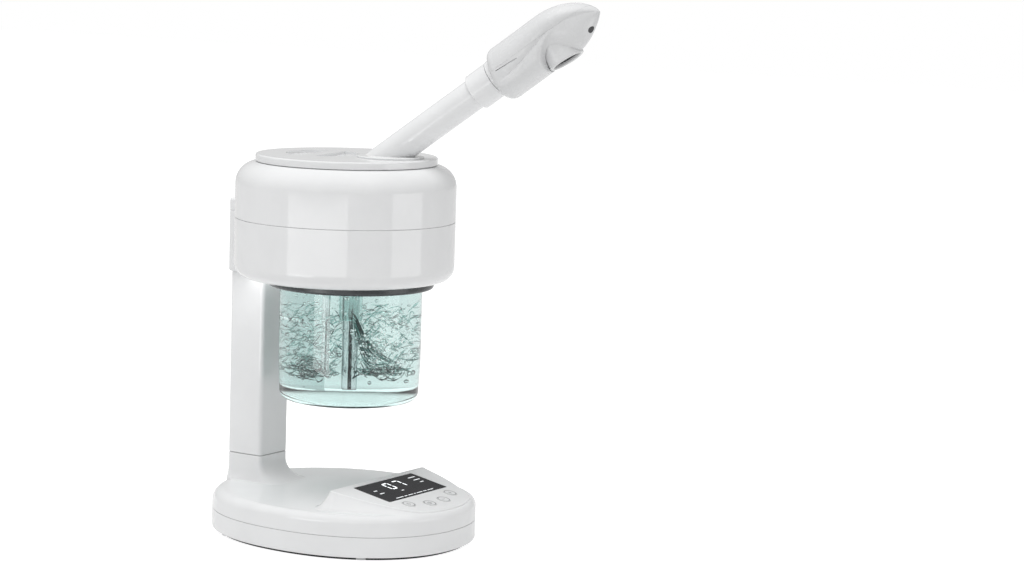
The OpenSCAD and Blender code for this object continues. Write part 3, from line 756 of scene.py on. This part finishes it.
def digit(value, x, y, z0, z1):
    """A seven-segment digit with its lower left corner at x, y."""
    w, h, gap, thick = DIGIT_W, DIGIT_H, 0.25, 1.25
    lines = {"a": (0, h, w, h), "b": (w, h, w, h / 2), "c": (w, h / 2, w, 0), "d": (0, 0, w, 0),
             "e": (0, 0, 0, h / 2), "f": (0, h / 2, 0, h), "g": (0, h / 2, w, h / 2)}
    shapes = []
    for key in SEGMENTS_OF[value]:
        x0, y0, x1, y1 = lines[key]
        along = Vector((x1 - x0, y1 - y0)).normalized() * gap
        start, end = Vector((x + x0, y + y0)) + along, Vector((x + x1, y + y1)) - along
        shapes.append(strip(*start, *end, thick, z0, z1))
    return shapes


def build_display():
    pane = lambda inset: box_outline(WINDOW[0] - 0.3, WINDOW[1] - 0.3, 1, inset)
    lens = new_piece("display_window", *pillow_prism(pane, -1.75, -0.02, 0.25, 0.25, 3), AT_PANEL)
    dress(lens, "stand", "display_black", WINDOW_BLACK, "display_lens")
    low, high = -0.03, 0.0
    number = digit(0, -8.4, 0.6, low, high) + digit(7, 3.4, 0.6, low, high)
    digits = new_piece("display_digits", *join_shapes(number), AT_PANEL)
    dress(digits, "stand", "display_black", DIGIT_WHITE)
    bar = lambda x, y, length, w, gap=0: moved(prism(box_outline(length - gap, w, 0.3), low, high),
                                               x + length / 2, y)
    marks = [bar(-26, 3.6, 3.6, 1.1), bar(-26, -1.6, 5.0, 1.1), bar(22.0, 9.6, 8.0, 1.1),
             bar(22.5, 5.0, 7.0, 1.1), bar(24.0, 0.6, 4.0, 1.1), bar(-4.5, -4.2, 2.6, 1.1)]
    x = -23.0
    for length in (9.5, 4.5, 6.5, 3.5, 7.5, 5.0, 8.0):
        marks.append(bar(x, -12.6, length, 0.9, gap=1.2))
        x += length
    piece = new_piece("display_marks", *join_shapes(marks), AT_PANEL)
    dress(piece, "stand", "display_black", MARK_WHITE)


def circle_line(r, w, z0, z1, segments=64):
    inner, outer = r - w / 2, r + w / 2
    return lathe([(inner, z0), (outer, z0), (outer, z1), (inner, z1)], closed=True, segments=segments)


def key_icon(index, z0, z1):
    """Generic marks: power, clock, minus and plus."""
    bar = lambda x0, y0, x1, y1: strip(x0, y0, x1, y1, 0.32, z0, z1)
    if index == 0:
        return [circle_line(1.3, 0.3, z0, z1, 32), bar(0, 0.5, 0, 1.9)]
    if index == 1:
        return [circle_line(1.5, 0.3, z0, z1, 32), bar(0, 0, 0, 1.1), bar(0, 0, 0.8, -0.4)]
    if index == 2:
        return [bar(-1.4, 0, 1.4, 0)]
    return [bar(-1.4, 0, 1.4, 0), bar(0, -1.4, 0, 1.4)]


def build_keys():
    cap_top, edge, flange_r = 0.3, 0.45, KEY_R + 0.9
    for i, (x, v) in enumerate(KEY_SPOTS):
        place = AT_PANEL @ at(x, v)
        body = f"key_{i + 1}"
        profile = [(0, -4.95), (1.5, -4.95), (1.5, -3.6), (flange_r, -3.6), (flange_r, -2.7), (KEY_R, -2.7),
                   (KEY_R, cap_top - edge)]
        profile += arc(KEY_R - edge, cap_top - edge, edge, 15, 90, 5)
        profile += [(KEY_R * 0.5, cap_top - 0.08), (0, cap_top - 0.12)]
        cap = new_piece(f"{body}_cap", *lathe(profile, segments=96), place, sharp=40)
        dress(cap, body, "key_cap", KEY_WHITE, body)
        low, high = cap_top - 0.10, cap_top - 0.035
        rim = circle_line(KEY_R - 0.7, 0.65, low + 0.05, high + 0.04)
        icon = new_piece(f"{body}_icon", *join_shapes([rim] + key_icon(i, low, high)), place)
        dress(icon, body, "key_cap", ICON_GREY)


build_display()
build_keys()


# ---------- column and head ----------

def build_column():
    low = COLUMN_LOW.z
    outline = lambda i: box_outline(COLUMN_W, COLUMN_D, COLUMN_R, i)
    foot = PEDESTAL_TOP + 0.15
    spigot = 0.8
    rings = [[(x * share, y * share, z) for x, y in outline(inset)] for share, inset, z in (
        (spigot, 0, low), (spigot, 0, foot), (1, 0.5, foot), (1, 0, foot + 0.4), (1, 0, COLUMN_HIGH.z))]
    piece = new_piece("column_shell", *loft(rings), AT_COLUMN)
    inner = prism(box_outline(COLUMN_W - 4 * WALL, COLUMN_D - 4 * WALL, 1), BASE_TOP + 6, 240)
    combine(piece, [tool(inner, AT_COLUMN)])
    dress_white(piece, "stand", "column")


BLOCK_FRONT = 56


def block(low, high, low_edge, high_edge):
    """A tool for the square block at the head's rear that takes the column."""
    outline = lambda inset: box_outline(BLOCK_W, HEAD_BACK - BLOCK_FRONT, 3, inset)
    return tool(pillow_prism(outline, low, high, low_edge, high_edge), at(0, (BLOCK_FRONT + HEAD_BACK) / 2))


def build_head():
    low_r = 10
    wall = 2.6
    lip = 0.3
    seam = HEAD_SEAM - 0.1
    lower = [(0, HEAD_UNDER), (HEAD_R - low_r, HEAD_UNDER)]
    lower += arc(HEAD_R - low_r, HEAD_UNDER + low_r, low_r, -84, 0, 14)
    lower += [(HEAD_R, seam - lip), (HEAD_R - lip, seam), (HEAD_R - wall, seam),
              (HEAD_R - wall, HEAD_UNDER + 14), (HEAD_R - 14, HEAD_UNDER + wall), (0, HEAD_UNDER + wall)]
    piece = new_piece("head_bowl", *lathe(lower), sharp=36)
    combine(piece, [block(BLOCK_UNDER, seam, 1.5, 0.3)], "UNION")
    socket = tool(disc(JAR_R + 1.1, HEAD_UNDER - 3, HEAD_UNDER + 8, 128), AT_JAR)
    slot = box_outline(COLUMN_W + 0.4, COLUMN_D + 0.4, COLUMN_R)
    combine(piece, [socket, tool(prism(slot, BLOCK_UNDER - 2, 201), AT_COLUMN)])
    dress_white(piece, "stand", "head_lower")

    seam = HEAD_SEAM + 0.05
    middle = (HEAD_R - SHOULDER_R, HEAD_TOP - SHOULDER_R)
    upper = [(HEAD_R - wall, seam), (HEAD_R - lip, seam), (HEAD_R, seam + lip)]
    upper += arc(*middle, SHOULDER_R, 0, 90, 20)
    upper += [(SKIRT_R + 0.1, HEAD_TOP), (SKIRT_R + 0.1, HEAD_TOP - wall)]
    upper += arc(*middle, SHOULDER_R - wall, 90, 0, 10)
    piece = new_piece("head_cover", *lathe(upper, closed=True), sharp=36)
    combine(piece, [block(seam, BLOCK_TOP, 0.3, 2.0)], "UNION")
    dress_white(piece, "stand", "head_upper")


build_column()
build_head()


# ---------- lid and arm ----------

def build_lid():
    edge = 1.2
    profile = [(0, LID_UNDER), (LID_R - 0.3, LID_UNDER), (LID_R, LID_UNDER + 0.3)]
    profile += arc(LID_R - edge, LID_TOP - edge, edge, 0, 90, 8)
    profile += [(0, LID_TOP)]
    piece = new_piece("lid_plate", *lathe(profile), AT_LID, sharp=36)
    bowl = arc(0, 0, 25, 13, 167, 40)
    front = [(x, 18 - y) for x, y in reversed(bowl)]
    rear = [(x, 18 + y) for x, y in bowl]
    dish = [tool(prism(half, LID_TOP - 1.8, LID_TOP + 3), AT_LID) for half in (front, rear)]
    combine(piece, dish + [tool(disc(TUBE_R - 0.6, -30, 30, 96), AT_ARM)])
    dress_white(piece, "turntable", "lid_disc")

    bore = TUBE_R - 3
    collar = [(bore, 0.01), (22.6, 0.01)] + arc(22.2, 0.5, 0.7, -45, 80, 6) + [(21.4, 1.3), (bore, 1.3)]
    piece = new_piece("collar_plate", *lathe(collar, closed=True), AT_LID @ at(0, -COLLAR_REACH, LID_TOP))
    combine(piece, [tool(disc(TUBE_R + 0.05, -30, 30, 96), AT_ARM)])
    dress_white(piece, "turntable", "arm_collar")


def build_arm():
    inner, foot, end = TUBE_R - 2, -17, 104
    groove_r, groove_low, groove_high = TUBE_R - 1.1, RING_START - 0.45, RING_START + 0.6
    tube = [(inner, foot), (TUBE_R, foot), (TUBE_R, groove_low), (groove_r, groove_low),
            (groove_r, groove_high), (TUBE_R, groove_high), (TUBE_R, end - 0.4), (TUBE_R - 0.4, end),
            (inner, end)]
    piece = new_piece("arm_tube_skin", *lathe(tube, closed=True, segments=128), AT_ARM)
    square = [(-100, -100), (100, -100), (100, 100), (-100, 100)]
    combine(piece, [tool(prism(square, LID_TOP - 40, LID_TOP - 3.3))])
    dress_white(piece, "turntable", "arm_tube")

    bore, edge, lip_r = TUBE_R + 0.08, 0.9, RING_R + 0.3
    ring = [(bore, RING_START + 0.3), (bore + 0.3, RING_START), (RING_R - edge, RING_START)]
    ring += arc(RING_R - edge, RING_START + edge, edge, -75, 0, 5)
    ring += [(RING_R, RING_END - 0.2), (RING_R - 1.1, RING_END - 0.2), (RING_R - 1.1, RING_END + 0.4),
             (lip_r, RING_END + 0.4), (lip_r, NOZZLE_START + 3), (TUBE_R + 1.6, NOZZLE_START + 3),
             (TUBE_R + 1.6, 103), (bore, 103)]
    piece = new_piece("coupling_sleeve", *lathe(ring, closed=True, segments=128), AT_ARM)
    dress_white(piece, "nozzle", "coupling_ring")


build_lid()
build_arm()


# ---------- nozzle ----------

CREASE = [(96, -5.4), (104, -5.4), (114, -5.0), (122, -3.4), (130, -1.3), (137, 0.4), (145, 2.2), (152, 2.8),
          (159, 2.7), (166, 1.3), (173, -0.7), (180.2, -4.5)]
SKIRT_EDGE = [(-19, 130.8), (-16, 131.6), (-13, 133.2), (-9.5, 135.6), (-6.4, 138.5), (-3, 143), (3, 152)]
NOZZLE_TIP = -4.5


def taper(s, start, power):
    q = max(0, (s - start) / (NOZZLE_END - start))
    return max(0, 1 - q * q) ** power


def lower_quarter(half, crease, low, power, b):
    return (half * max(0, cos(b)) ** power, crease - (crease - low) * sin(b) ** power)


def nozzle_ring(s, shrink=0):
    """One ring of the nozzle's skin at station s, from its top down the right side and back up."""
    top = NOZZLE_TIP + 22.1 * taper(s, 143, 0.62) - shrink
    low = NOZZLE_TIP - 14.3 * taper(s, 148, 0.93) + shrink
    half = 18 * taper(s, 140, 0.55) - shrink
    crease = min(top - 0.2, max(low + 0.2, through(CREASE, s)))
    valley = 0.13 * smooth(s, 99, 112)
    keel = 1.0 + 0.62 * (1 - smooth(s, 136, 160))
    steps = 28
    right = []
    for i in range(steps):
        a = pi / 2 * (1 - i / steps)
        w = half * cos(a) ** 0.9 * (1 - valley * (1 - sin(a)) ** 6)
        right.append((max(0, w), crease + (top - crease) * sin(a) ** 0.9))
    for i in range(steps + 1):
        b = pi / 2 * i / steps
        full_w, full_t = lower_quarter(half, crease, low, 0.9, b)
        full_w *= 1 - valley * (1 - sin(b)) ** 6
        keel_w, keel_t = lower_quarter(half, crease, low, keel, b)
        keel_w *= 1 - valley
        soft = 0.9 + 5.5 * smooth(full_t, -16.5, -6)
        gone = smooth(s - through(SKIRT_EDGE, full_t), -soft, soft)
        right.append((full_w + (keel_w - full_w) * gone, full_t + (keel_t - full_t) * gone))
    left = [(-w, t) for w, t in reversed(right[1:-1])]
    lean = 0.11 * (1 - smooth(s, 98, 118))
    return [(w, t, s + lean * t) for w, t in right + left]


def nozzle_shape():
    """The nozzle's skin: a round rear edge, the body with its skirt, and the tapered tip."""
    edge = 5
    start = NOZZLE_START + 2
    rings = [nozzle_ring(start, edge + 1.5)]
    for k in range(9):
        a = pi / 2 * k / 8
        rings.append([(w, t, z + edge * (1 - cos(a)))
                      for w, t, z in nozzle_ring(start, edge * (1 - sin(a)))])
    s = start + edge + 1
    while s < 148:
        rings.append(nozzle_ring(s))
        s += 0.35 if 129.5 < s < 146 else 1.0
    for a in range(0, 88, 3):
        rings.append(nozzle_ring(148 + (NOZZLE_END - 148) * sin(radians(a))))
    rings.append([(w * 0.15, NOZZLE_TIP + (t - NOZZLE_TIP) * 0.15, NOZZLE_END) for w, t, z in rings[-1]])
    return loft(rings)


def build_nozzle():
    half = lambda low, high: tool(prism([(-40, low), (40, low), (40, high), (-40, high)],
                                        NOZZLE_START - 5, NOZZLE_END + 5), AT_ARM)
    neck = lambda: tool(disc(TUBE_R + 1.7, NOZZLE_START - 5, NOZZLE_START + 12, 96), AT_ARM)
    gap = 0.03
    upper = new_piece("nozzle_top_shell", *nozzle_shape(), AT_ARM, sharp=50)
    combine(upper, [half(-60, PART_T + gap), neck()])
    dress(upper, "nozzle", "white_shell", SHADED_SATIN, "nozzle_upper")
    lower = new_piece("nozzle_bottom_shell", *nozzle_shape(), AT_ARM, sharp=50)
    slack = 0.12
    hole = AT_ARM @ at(0, 0, SPOUT_S) @ about_x(-pi / 2) @ at(0, slack)
    combine(lower, [half(PART_T - gap, 60), neck(), tool(disc(SPOUT_R + slack, -40, -4.5, 96), hole)])
    along_side = AT_ARM @ at(0, 8.6) @ about_x(0.073)
    bar = prism([(-1.6, -0.25), (1.6, -0.25), (1.6, 0.25), (-1.6, 0.25)], 104, 121)
    combine(lower, [tool(moved(bar, w, 0), along_side) for w in (-17.6, 17.6)])
    # A black plug fills the small vent hole flush with the skin: painted shade of the vent's hollow.
    vent = AT_ARM @ at(0, -13.6, 171.5) @ about_x(radians(-40)) @ at(-3.5, 0) @ about_x(pi / 2)
    combine(lower, [tool(disc(2.4, -4, 3, 32), vent)])
    dress(lower, "nozzle", "white_shell", SHADED_SATIN, "nozzle_lower")
    plug = new_piece("nozzle_vent_shade", *disc(2.35, -4, 2.9, 32), vent, sharp=50)
    combine(plug, [tool(nozzle_shape(), AT_ARM)], "INTERSECT")
    dress(plug, "nozzle", "module_black", MODULE_AND_SHADE_BLACK)

    inner = SPOUT_R - 2.4
    lean = radians(SPOUT_LEAN)
    leaning = AT_ARM @ at(0, 0, SPOUT_S - tan(lean) * SPOUT_LOW) @ about_x(-pi / 2) @ about_x(lean)
    barrel = [(inner, -5), (inner, SPOUT_LOW + 1.6)] + arc(inner + 1.2, SPOUT_LOW + 1.2, 1.2, 180, 360, 10)
    barrel += [(SPOUT_R, -5)]
    piece = new_piece("spout_barrel", *lathe(barrel, closed=True, segments=128), leaning)
    dress(piece, "nozzle", "white_shell", SHADED_SATIN, "spout_ring")
    # A black lining inside the spout's outlet: painted shade in its hollow.
    throat_r, lining_r = inner - 0.05, inner - 0.7
    throat = [(0, -8), (lining_r, -8), (lining_r, SPOUT_LOW + 2.6), (throat_r, SPOUT_LOW + 2.2),
              (throat_r, -6), (0, -6)]
    piece = new_piece("spout_throat_shade", *lathe(throat, segments=96), leaning)
    dress(piece, "nozzle", "module_black", MODULE_AND_SHADE_BLACK)


build_nozzle()


# ---------- jar ----------

def jar_outline(inset, top):
    """The jar's profile drawn in by inset, from the middle of its bottom up to top."""
    corner = 6
    r = JAR_R - 1
    return ([(0, JAR_UNDER + inset)]
            + arc(r - corner, JAR_UNDER + corner, corner - inset, -90, 0, 12)
            + [(JAR_R - inset, JAR_UNDER + 26), (JAR_R - inset, top)])


WATER_TOP = 171.0
BUBBLES, RIPPLES, FINE_SHADE_STREAKS, GLINT_SPECKS = 1000, 430, 190, 230


def build_jar():
    outer = jar_outline(0, JAR_TOP)
    inner = jar_outline(GLASS, JAR_TOP)
    piece = new_piece("jar_glass_wall", *lathe(outer + inner[::-1]), AT_JAR, sharp=60)
    dress(piece, "jar", "jar_glass", GLASS_CLEAR, "jar_glass")

    inner_r = 44.7
    ledge, edge, grip_r = 174.05, 1.8, JAR_R + 0.05
    collar = [(inner_r, ledge), (grip_r, ledge), (grip_r, COLLAR_LOW.z + 0.5), (JAR_R + 1.2, COLLAR_LOW.z)]
    collar += arc(COLLAR_R - edge, COLLAR_LOW.z + edge, edge, -90, 0, 8)
    collar += [(COLLAR_R, HEAD_UNDER - 0.3), (JAR_R + 0.6, HEAD_UNDER - 0.3), (JAR_R + 0.6, COLLAR_HIGH.z),
               (inner_r, COLLAR_HIGH.z)]
    piece = new_piece("jar_collar_ring", *lathe(collar, closed=True), AT_JAR)
    dress(piece, "jar", "collar_dark", COLLAR_DARK, "jar_collar")

    body = jar_outline(GLASS - 0.03, WATER_TOP)
    piece = new_piece("water", *lathe(body + [(0, WATER_TOP)]), AT_JAR, sharp=60)
    dress(piece, "jar", "jar_glass", WATER)


def blob(centre, radii, detail):
    """A small closed ball, squeezed to its radii."""
    bm = bmesh.new()
    bmesh.ops.create_icosphere(bm, subdivisions=detail, radius=1)
    points = [(centre[0] + v.co.x * radii[0], centre[1] + v.co.y * radii[1], centre[2] + v.co.z * radii[2])
              for v in bm.verts]
    faces = [tuple(v.index for v in f.verts) for f in bm.faces]
    bm.free()
    return points, faces


# Angle of the side from which the jar is seen in the main view
FRONT = atan2(CAMERA_PLACE[1], CAMERA_PLACE[0])


def bubble_spot():
    """A place for a bubble: mostly in the rising and turning water, few near the floor."""
    while True:
        z = random.uniform(JAR_UNDER + 9, WATER_TOP - 2)
        a = random.uniform(0, 2 * pi)
        r = sqrt(random.uniform(0.05, 1)) * (JAR_R - GLASS - 3)
        share = 0.12 + 0.88 * smooth(z, 108, 124) * (1 - 0.8 * smooth(z, 154, 162))
        share = max(share * 0.6, 1 - smooth(hypot(r - 6, z - 150), 3, 10))
        in_view = abs(r * sin(a - FRONT)) < HEATER_R + 1.5 and z < 147
        if r > HEATER_R + 3 and not in_view and random.random() < share:
            return r * cos(a), r * sin(a), z


def add_to_water(name, shapes, material):
    """One piece made of many small shapes, which rides with the jar."""
    piece = new_piece(name, *join_shapes(shapes), AT_JAR, sharp=180)
    dress(piece, "jar", "jar_glass", material)


def build_bubbles():
    shapes = []
    for _ in range(BUBBLES):
        size = 0.22 + 1.7 * random.random() ** 5
        radii = [size * random.uniform(0.65, 1.15) for _ in range(3)]
        shapes.append(blob(bubble_spot(), radii, 2 if size > 0.6 else 1))
    add_to_water("bubbles", shapes, AIR)


def sweep(path, radii, sides=6):
    """A closed tube along a path, with its own radius at each point."""
    rings = []
    angles = [2 * pi * k / sides for k in range(sides)]
    for i, p in enumerate(path):
        along = (path[min(i + 1, len(path) - 1)] - path[max(i - 1, 0)]).normalized()
        side = along.cross(Vector((0.3, 0.2, 1))).normalized()
        up = side.cross(along)
        rings.append([tuple(p + (side * cos(a) + up * sin(a)) * radii[i]) for a in angles])
    return loft(rings)


def in_jar(right, near, z):
    """A point of the water from its place in the front view: mm to the right, mm nearer, and height."""
    reach = hypot(right, near)
    fit = min(1.0, (JAR_R - GLASS - 1.5) / max(reach, 1))
    a = FRONT + pi / 2
    x = right * cos(a) + near * cos(FRONT)
    y = right * sin(a) + near * sin(FRONT)
    return Vector((x * fit, y * fit, min(WATER_TOP - 2, max(JAR_UNDER + 7, z))))


def strand(spots, thick):
    """A streak through spots (right, near, z), thin at both ends and uneven between: air that bends light,
    or a dark streak of painted shade.
    """
    steps = 3 * (len(spots) - 1)
    lines = [list(enumerate(values)) for values in zip(*spots)]
    path, radii = [], []
    beat = random.uniform(0, 6)
    for i in range(steps + 1):
        path.append(in_jar(*[through(line, i / 3) for line in lines]))
        swell = sin(pi * (i + 0.3) / (steps + 0.6)) * (1 + 0.4 * sin(i * 1.3 + beat))
        radii.append(max(0.05, thick * swell))
    return sweep(path, radii)


def plume_strand(most=1.1):
    """Water thrown off the heater's top, falling to the right."""
    line = [(153, 0.5), (149, 3), (141, 5.5), (133, 8.5), (126, 13), (121, 19), (118.5, 27)]
    start = random.randint(0, 3)
    part = line[start:start + random.randint(3, 4)]
    wide, drop, near = random.uniform(0.45, 1.35), random.gauss(0, 2), random.gauss(3, 7)
    return strand([(right * wide, near, z + drop) for z, right in part], random.uniform(most / 4, most))


def low_strand(left, right, z_low, z_high, most):
    """A nearly level streak low in the jar, between two places of the front view."""
    middle, z = random.uniform(left, right), random.triangular(z_low, z_high, z_low + 3)
    half, rise, near = random.uniform(2.5, 7), random.gauss(0, 1.3), random.uniform(-26, 24)
    bow = random.gauss(-1, 1.4)
    return strand([(middle + half * k, near + random.gauss(0, 1), z + rise * k + bow * (1 - k * k))
                   for k in (-1, -0.5, 0, 0.5, 1)], random.uniform(0.2, most))


def curl(most=0.8):
    """A streak that curls round the roller on the left."""
    turn, r, near = random.uniform(0, 2 * pi), random.uniform(2, 8.5), random.uniform(-24, 20)
    return strand([(-19.5 + 1.25 * r * cos(turn + 0.4 * k), near, 117.5 + 0.8 * r * sin(turn + 0.4 * k))
                   for k in range(5)], random.uniform(most / 4, most))


def ripple(most=0.62):
    """A short thin streak anywhere in the boiling part, left clear in front of the heater."""
    while True:
        right, near, z = random.uniform(-36, 36), random.uniform(-34, 34), random.uniform(113, 158)
        if abs(right) > HEATER_R + 4 or near < 0:
            break
    slope, size, bow = random.gauss(0.2, 0.8), random.uniform(1.2, 3.6), random.gauss(0, 1.2)
    spots = [(right + size * k, near, z + slope * size * k + bow * (1 - k * k)) for k in (-1, -0.3, 0.4, 1)]
    return strand(spots, random.uniform(most / 4, most))


def build_swirls():
    """Streaks of air in the boiling water, tinted dark as painted shade, with opaque streaks of painted
    shade and glowing specks of painted glint.
    """
    shapes = [plume_strand() for _ in range(16)]
    shapes += [low_strand(6, 28, 112, 124, 1.0) for _ in range(20)]
    shapes += [low_strand(-27, -10, 110, 118, 0.9) for _ in range(14)]
    shapes += [curl() for _ in range(26)]
    add_to_water("swirls", shapes, SWIRL)
    add_to_water("ripples", [ripple() for _ in range(RIPPLES)], RIPPLE)
    # Opaque dark streaks of painted shade.
    shade_streaks = [plume_strand(0.6) for _ in range(20)] + [low_strand(6, 28, 112, 120, 0.7) for _ in range(22)]
    shade_streaks += [low_strand(-27, -10, 110, 117, 0.55) for _ in range(12)] + [curl(0.55) for _ in range(16)]
    shade_streaks += [ripple(0.3) for _ in range(FINE_SHADE_STREAKS)]
    add_to_water("shade_streaks", shade_streaks, SHADE_STREAK)
    # Glowing specks: painted glints on the boiling water.
    glint_specks = []
    for _ in range(GLINT_SPECKS):
        size = random.uniform(0.2, 0.75)
        place = in_jar(random.gauss(18, 10), random.uniform(-10, 32), random.gauss(139, 10))
        glint_specks.append(blob(place, [size * random.uniform(0.6, 1.8) for _ in range(3)], 1))
    add_to_water("painted_glints", glint_specks, GLINT_GLOW)


def build_heater():
    edge = 0.8
    rod = [(0, HEATER_LOW.z)] + arc(HEATER_R - edge, HEATER_LOW.z + edge, edge, -90, 0, 6)
    rod += [(HEATER_R, HEATER_HIGH.z), (0, HEATER_HIGH.z)]
    piece = new_piece("heater_tube", *lathe(rod, segments=96), AT_JAR)
    dress(piece, "stand", "polished_steel", POLISHED, "heater_rod")
    low, high = span("heater_sleeve")
    sleeve_r = (high.x - low.x) / 2
    bore = HEATER_R + 0.02
    sleeve = [(bore, low.z + 0.3), (HEATER_R + 0.3, low.z)]
    sleeve += arc(sleeve_r - edge, low.z + edge, edge, -90, 0, 5) + [(sleeve_r, high.z), (bore, high.z)]
    piece = new_piece("heater_sleeve_skin", *lathe(sleeve, closed=True, segments=96), AT_JAR)
    dress(piece, "stand", "sleeve_silicone", SLEEVE, "heater_sleeve")


build_jar()
build_bubbles()
build_swirls()
build_heater()


# ---------- model nodes that stay ----------

CARRIED = {
    SCREW_STEEL: ["base_screws", "column_screws", "head_screws", "clip_screws", "nozzle_screws"],
    FOOT_GREY: ["feet"],
    MODULE_AND_SHADE_BLACK: ["display_module", "key_switches", "thermal_cutout"],
    BOARD_GREEN: ["control_board", "power_board"],
    GLAND_RUBBER: ["cable_gland"],
    WIRE_RED: ["wire_loom"],
    INNER_WHITE: ["jar_socket", "boiler_cap", "steam_duct", "lid_duct", "lid_clip"],
    POLISHED: ["level_probe"],
    SEAL: ["jar_gasket", "duct_seal", "arm_o_ring"],
}
for material, names in CARRIED.items():
    for node_name in names:
        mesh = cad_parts[node_name].data
        mesh.materials.clear()
        mesh.materials.append(material)


# ---------- stage and light ----------

CENTRE = Vector((0, 0, 0.19))
TO_CAMERA = Vector((CAMERA_PLACE[0], CAMERA_PLACE[1], 0)).normalized()
TO_RIGHT = Vector((-TO_CAMERA.y, TO_CAMERA.x, 0))


def from_camera(angle):
    """Level direction from the object, this many degrees to the right of the camera's side."""
    a = radians(angle)
    return TO_CAMERA * cos(a) + TO_RIGHT * sin(a)


def area_light(name, centre, size, radiance, target, fill):
    """A flat lamp. A fill lamp lights surfaces only, and another one shows only as a reflection."""
    lamp = bpy.data.lights.new(name, "AREA")
    lamp.shape = "RECTANGLE"
    lamp.size, lamp.size_y = size
    lamp.energy = radiance * pi * size[0] * size[1]
    light = add_object(name, lamp)
    light.location = centre
    light.rotation_euler = (target - light.location).to_track_quat("-Z", "Y").to_euler()
    light.visible_camera = False
    light.visible_transmission = False
    light.visible_diffuse = fill
    light.visible_glossy = not fill


def softbox(name, middle, reach, left, right, low, high, radiance):
    """A soft box that stands square to a direction, with its edges in metres."""
    u = from_camera(middle)
    centre = u * reach + Vector((-u.y, u.x, 0)) * (left + right) / 2
    centre.z = (low + high) / 2
    area_light(name, centre, (right - left, high - low), radiance, centre - u, fill=False)


def make_lights():
    softbox("softbox_high", -28.5, 0.6, -0.341, 0.360, 0.096, 0.182, radiance=2.0)
    softbox("softbox_low", -28.5, 0.6, -0.341, -0.02, 0.002, 0.092, radiance=4.5)
    softbox("softbox_right", 64.5, 0.7, -0.22, 0.22, 0.02, 0.25, radiance=1.6)
    overhead = from_camera(-35) * 0.6
    overhead.z = 2.6
    area_light("overhead", overhead, (2.2, 2.2), 3.3, CENTRE, fill=True)
    below_head = Vector((0, JAR_Y, HEAD_UNDER - 3)) * MM
    area_light("under_fill", below_head, (0.15, 0.15), 1.7, below_head - Vector((0, 0, 1)), fill=True)


def make_world():
    """An even white surround, about half as bright as a light as it is to look at."""
    world = bpy.data.worlds.new("studio")
    bpy.context.scene.world = world
    world.use_nodes = True
    nodes, links = world.node_tree.nodes, world.node_tree.links
    rays = nodes.new("ShaderNodeLightPath")
    seen = nodes.new("ShaderNodeMath")
    seen.operation = "MAXIMUM"
    links.new(rays.outputs["Is Camera Ray"], seen.inputs[0])
    links.new(rays.outputs["Is Transmission Ray"], seen.inputs[1])
    level = ranged(nodes, links, seen.outputs["Value"], low=0.54, high=1.0, lowest=0, highest=1)
    # What is seen through the glass from high up is dark, which gives the bubbles their edges
    place = nodes.new("ShaderNodeTexCoord")
    split = nodes.new("ShaderNodeSeparateXYZ")
    links.new(place.outputs["Generated"], split.inputs["Vector"])
    shade = ranged(nodes, links, split.outputs["Z"], low=1.5, high=0.04, lowest=0.16, highest=0.34)
    pick = nodes.new("ShaderNodeMix")
    links.new(rays.outputs["Is Transmission Ray"], pick.inputs["Factor"])
    links.new(level, pick.inputs["A"])
    links.new(shade, pick.inputs["B"])
    background = set_sockets(nodes["Background"], Color=(1, 1, 1, 1))
    links.new(pick.outputs["Result"], background.inputs["Strength"])


def card(name, corners, material):
    """A thin closed panel of the stage, from four corners in metres."""
    thickness = 0.002
    a, b, c, d = [Vector(p) for p in corners]
    back = (b - a).cross(d - a).normalized() * thickness
    points = [a, b, c, d, a - back, b - back, c - back, d - back]
    faces = [(0, 1, 2, 3), (7, 6, 5, 4), (0, 4, 5, 1), (1, 5, 6, 2), (2, 6, 7, 3), (3, 7, 4, 0)]
    mesh = bpy.data.meshes.new(name)
    mesh.from_pydata(points, [], faces)
    mesh.materials.append(material)
    panel = add_object(name, mesh)
    return panel


def card_for_glass(name, left, right, distance, height, material):
    """A card that stands on the floor between two directions and is seen only through glass."""
    foot = [from_camera(angle) * distance for angle in (left, right)]
    upward = Vector((0, 0, height))
    panel = card(name, [*foot, foot[1] + upward, foot[0] + upward], material)
    panel.visible_camera = False
    panel.visible_diffuse = False
    panel.visible_glossy = False
    panel.visible_shadow = False


def make_stage():
    white = (1, 1, 1, 1)
    material, nodes, links, shader = new_material("studio_floor")
    set_sockets(shader, Base_Color=(0.50, 0.50, 0.50, 1), Emission_Color=white)
    set_sockets(shader, Roughness=1, Specular_IOR_Level=0)
    rays = nodes.new("ShaderNodeLightPath")
    glow = ranged(nodes, links, rays.outputs["Is Camera Ray"], low=0.46, high=0.80, lowest=0, highest=1)
    links.new(glow, shader.inputs["Emission Strength"])
    size, low = 6, -0.0001
    card("floor", [(-size, -size, low), (size, -size, low), (size, size, low), (-size, size, low)], material)
    dark, _, _, shader = new_material("flag_black")
    set_sockets(shader, Base_Color=(0.01, 0.01, 0.01, 1), Roughness=1)
    card_for_glass("flag", -24, 34, distance=0.65, height=0.078, material=dark)
    grey, _, _, shader = new_material("card_grey")
    set_sockets(shader, Base_Color=(0, 0, 0, 1), Specular_IOR_Level=0)
    set_sockets(shader, Emission_Color=(0.92, 1, 1, 1), Emission_Strength=0.68)
    card_for_glass("card_behind", 171, 120, distance=0.55, height=0.125, material=grey)


make_world()
make_lights()
make_stage()
bpy.context.scene.view_settings.view_transform = "Standard"
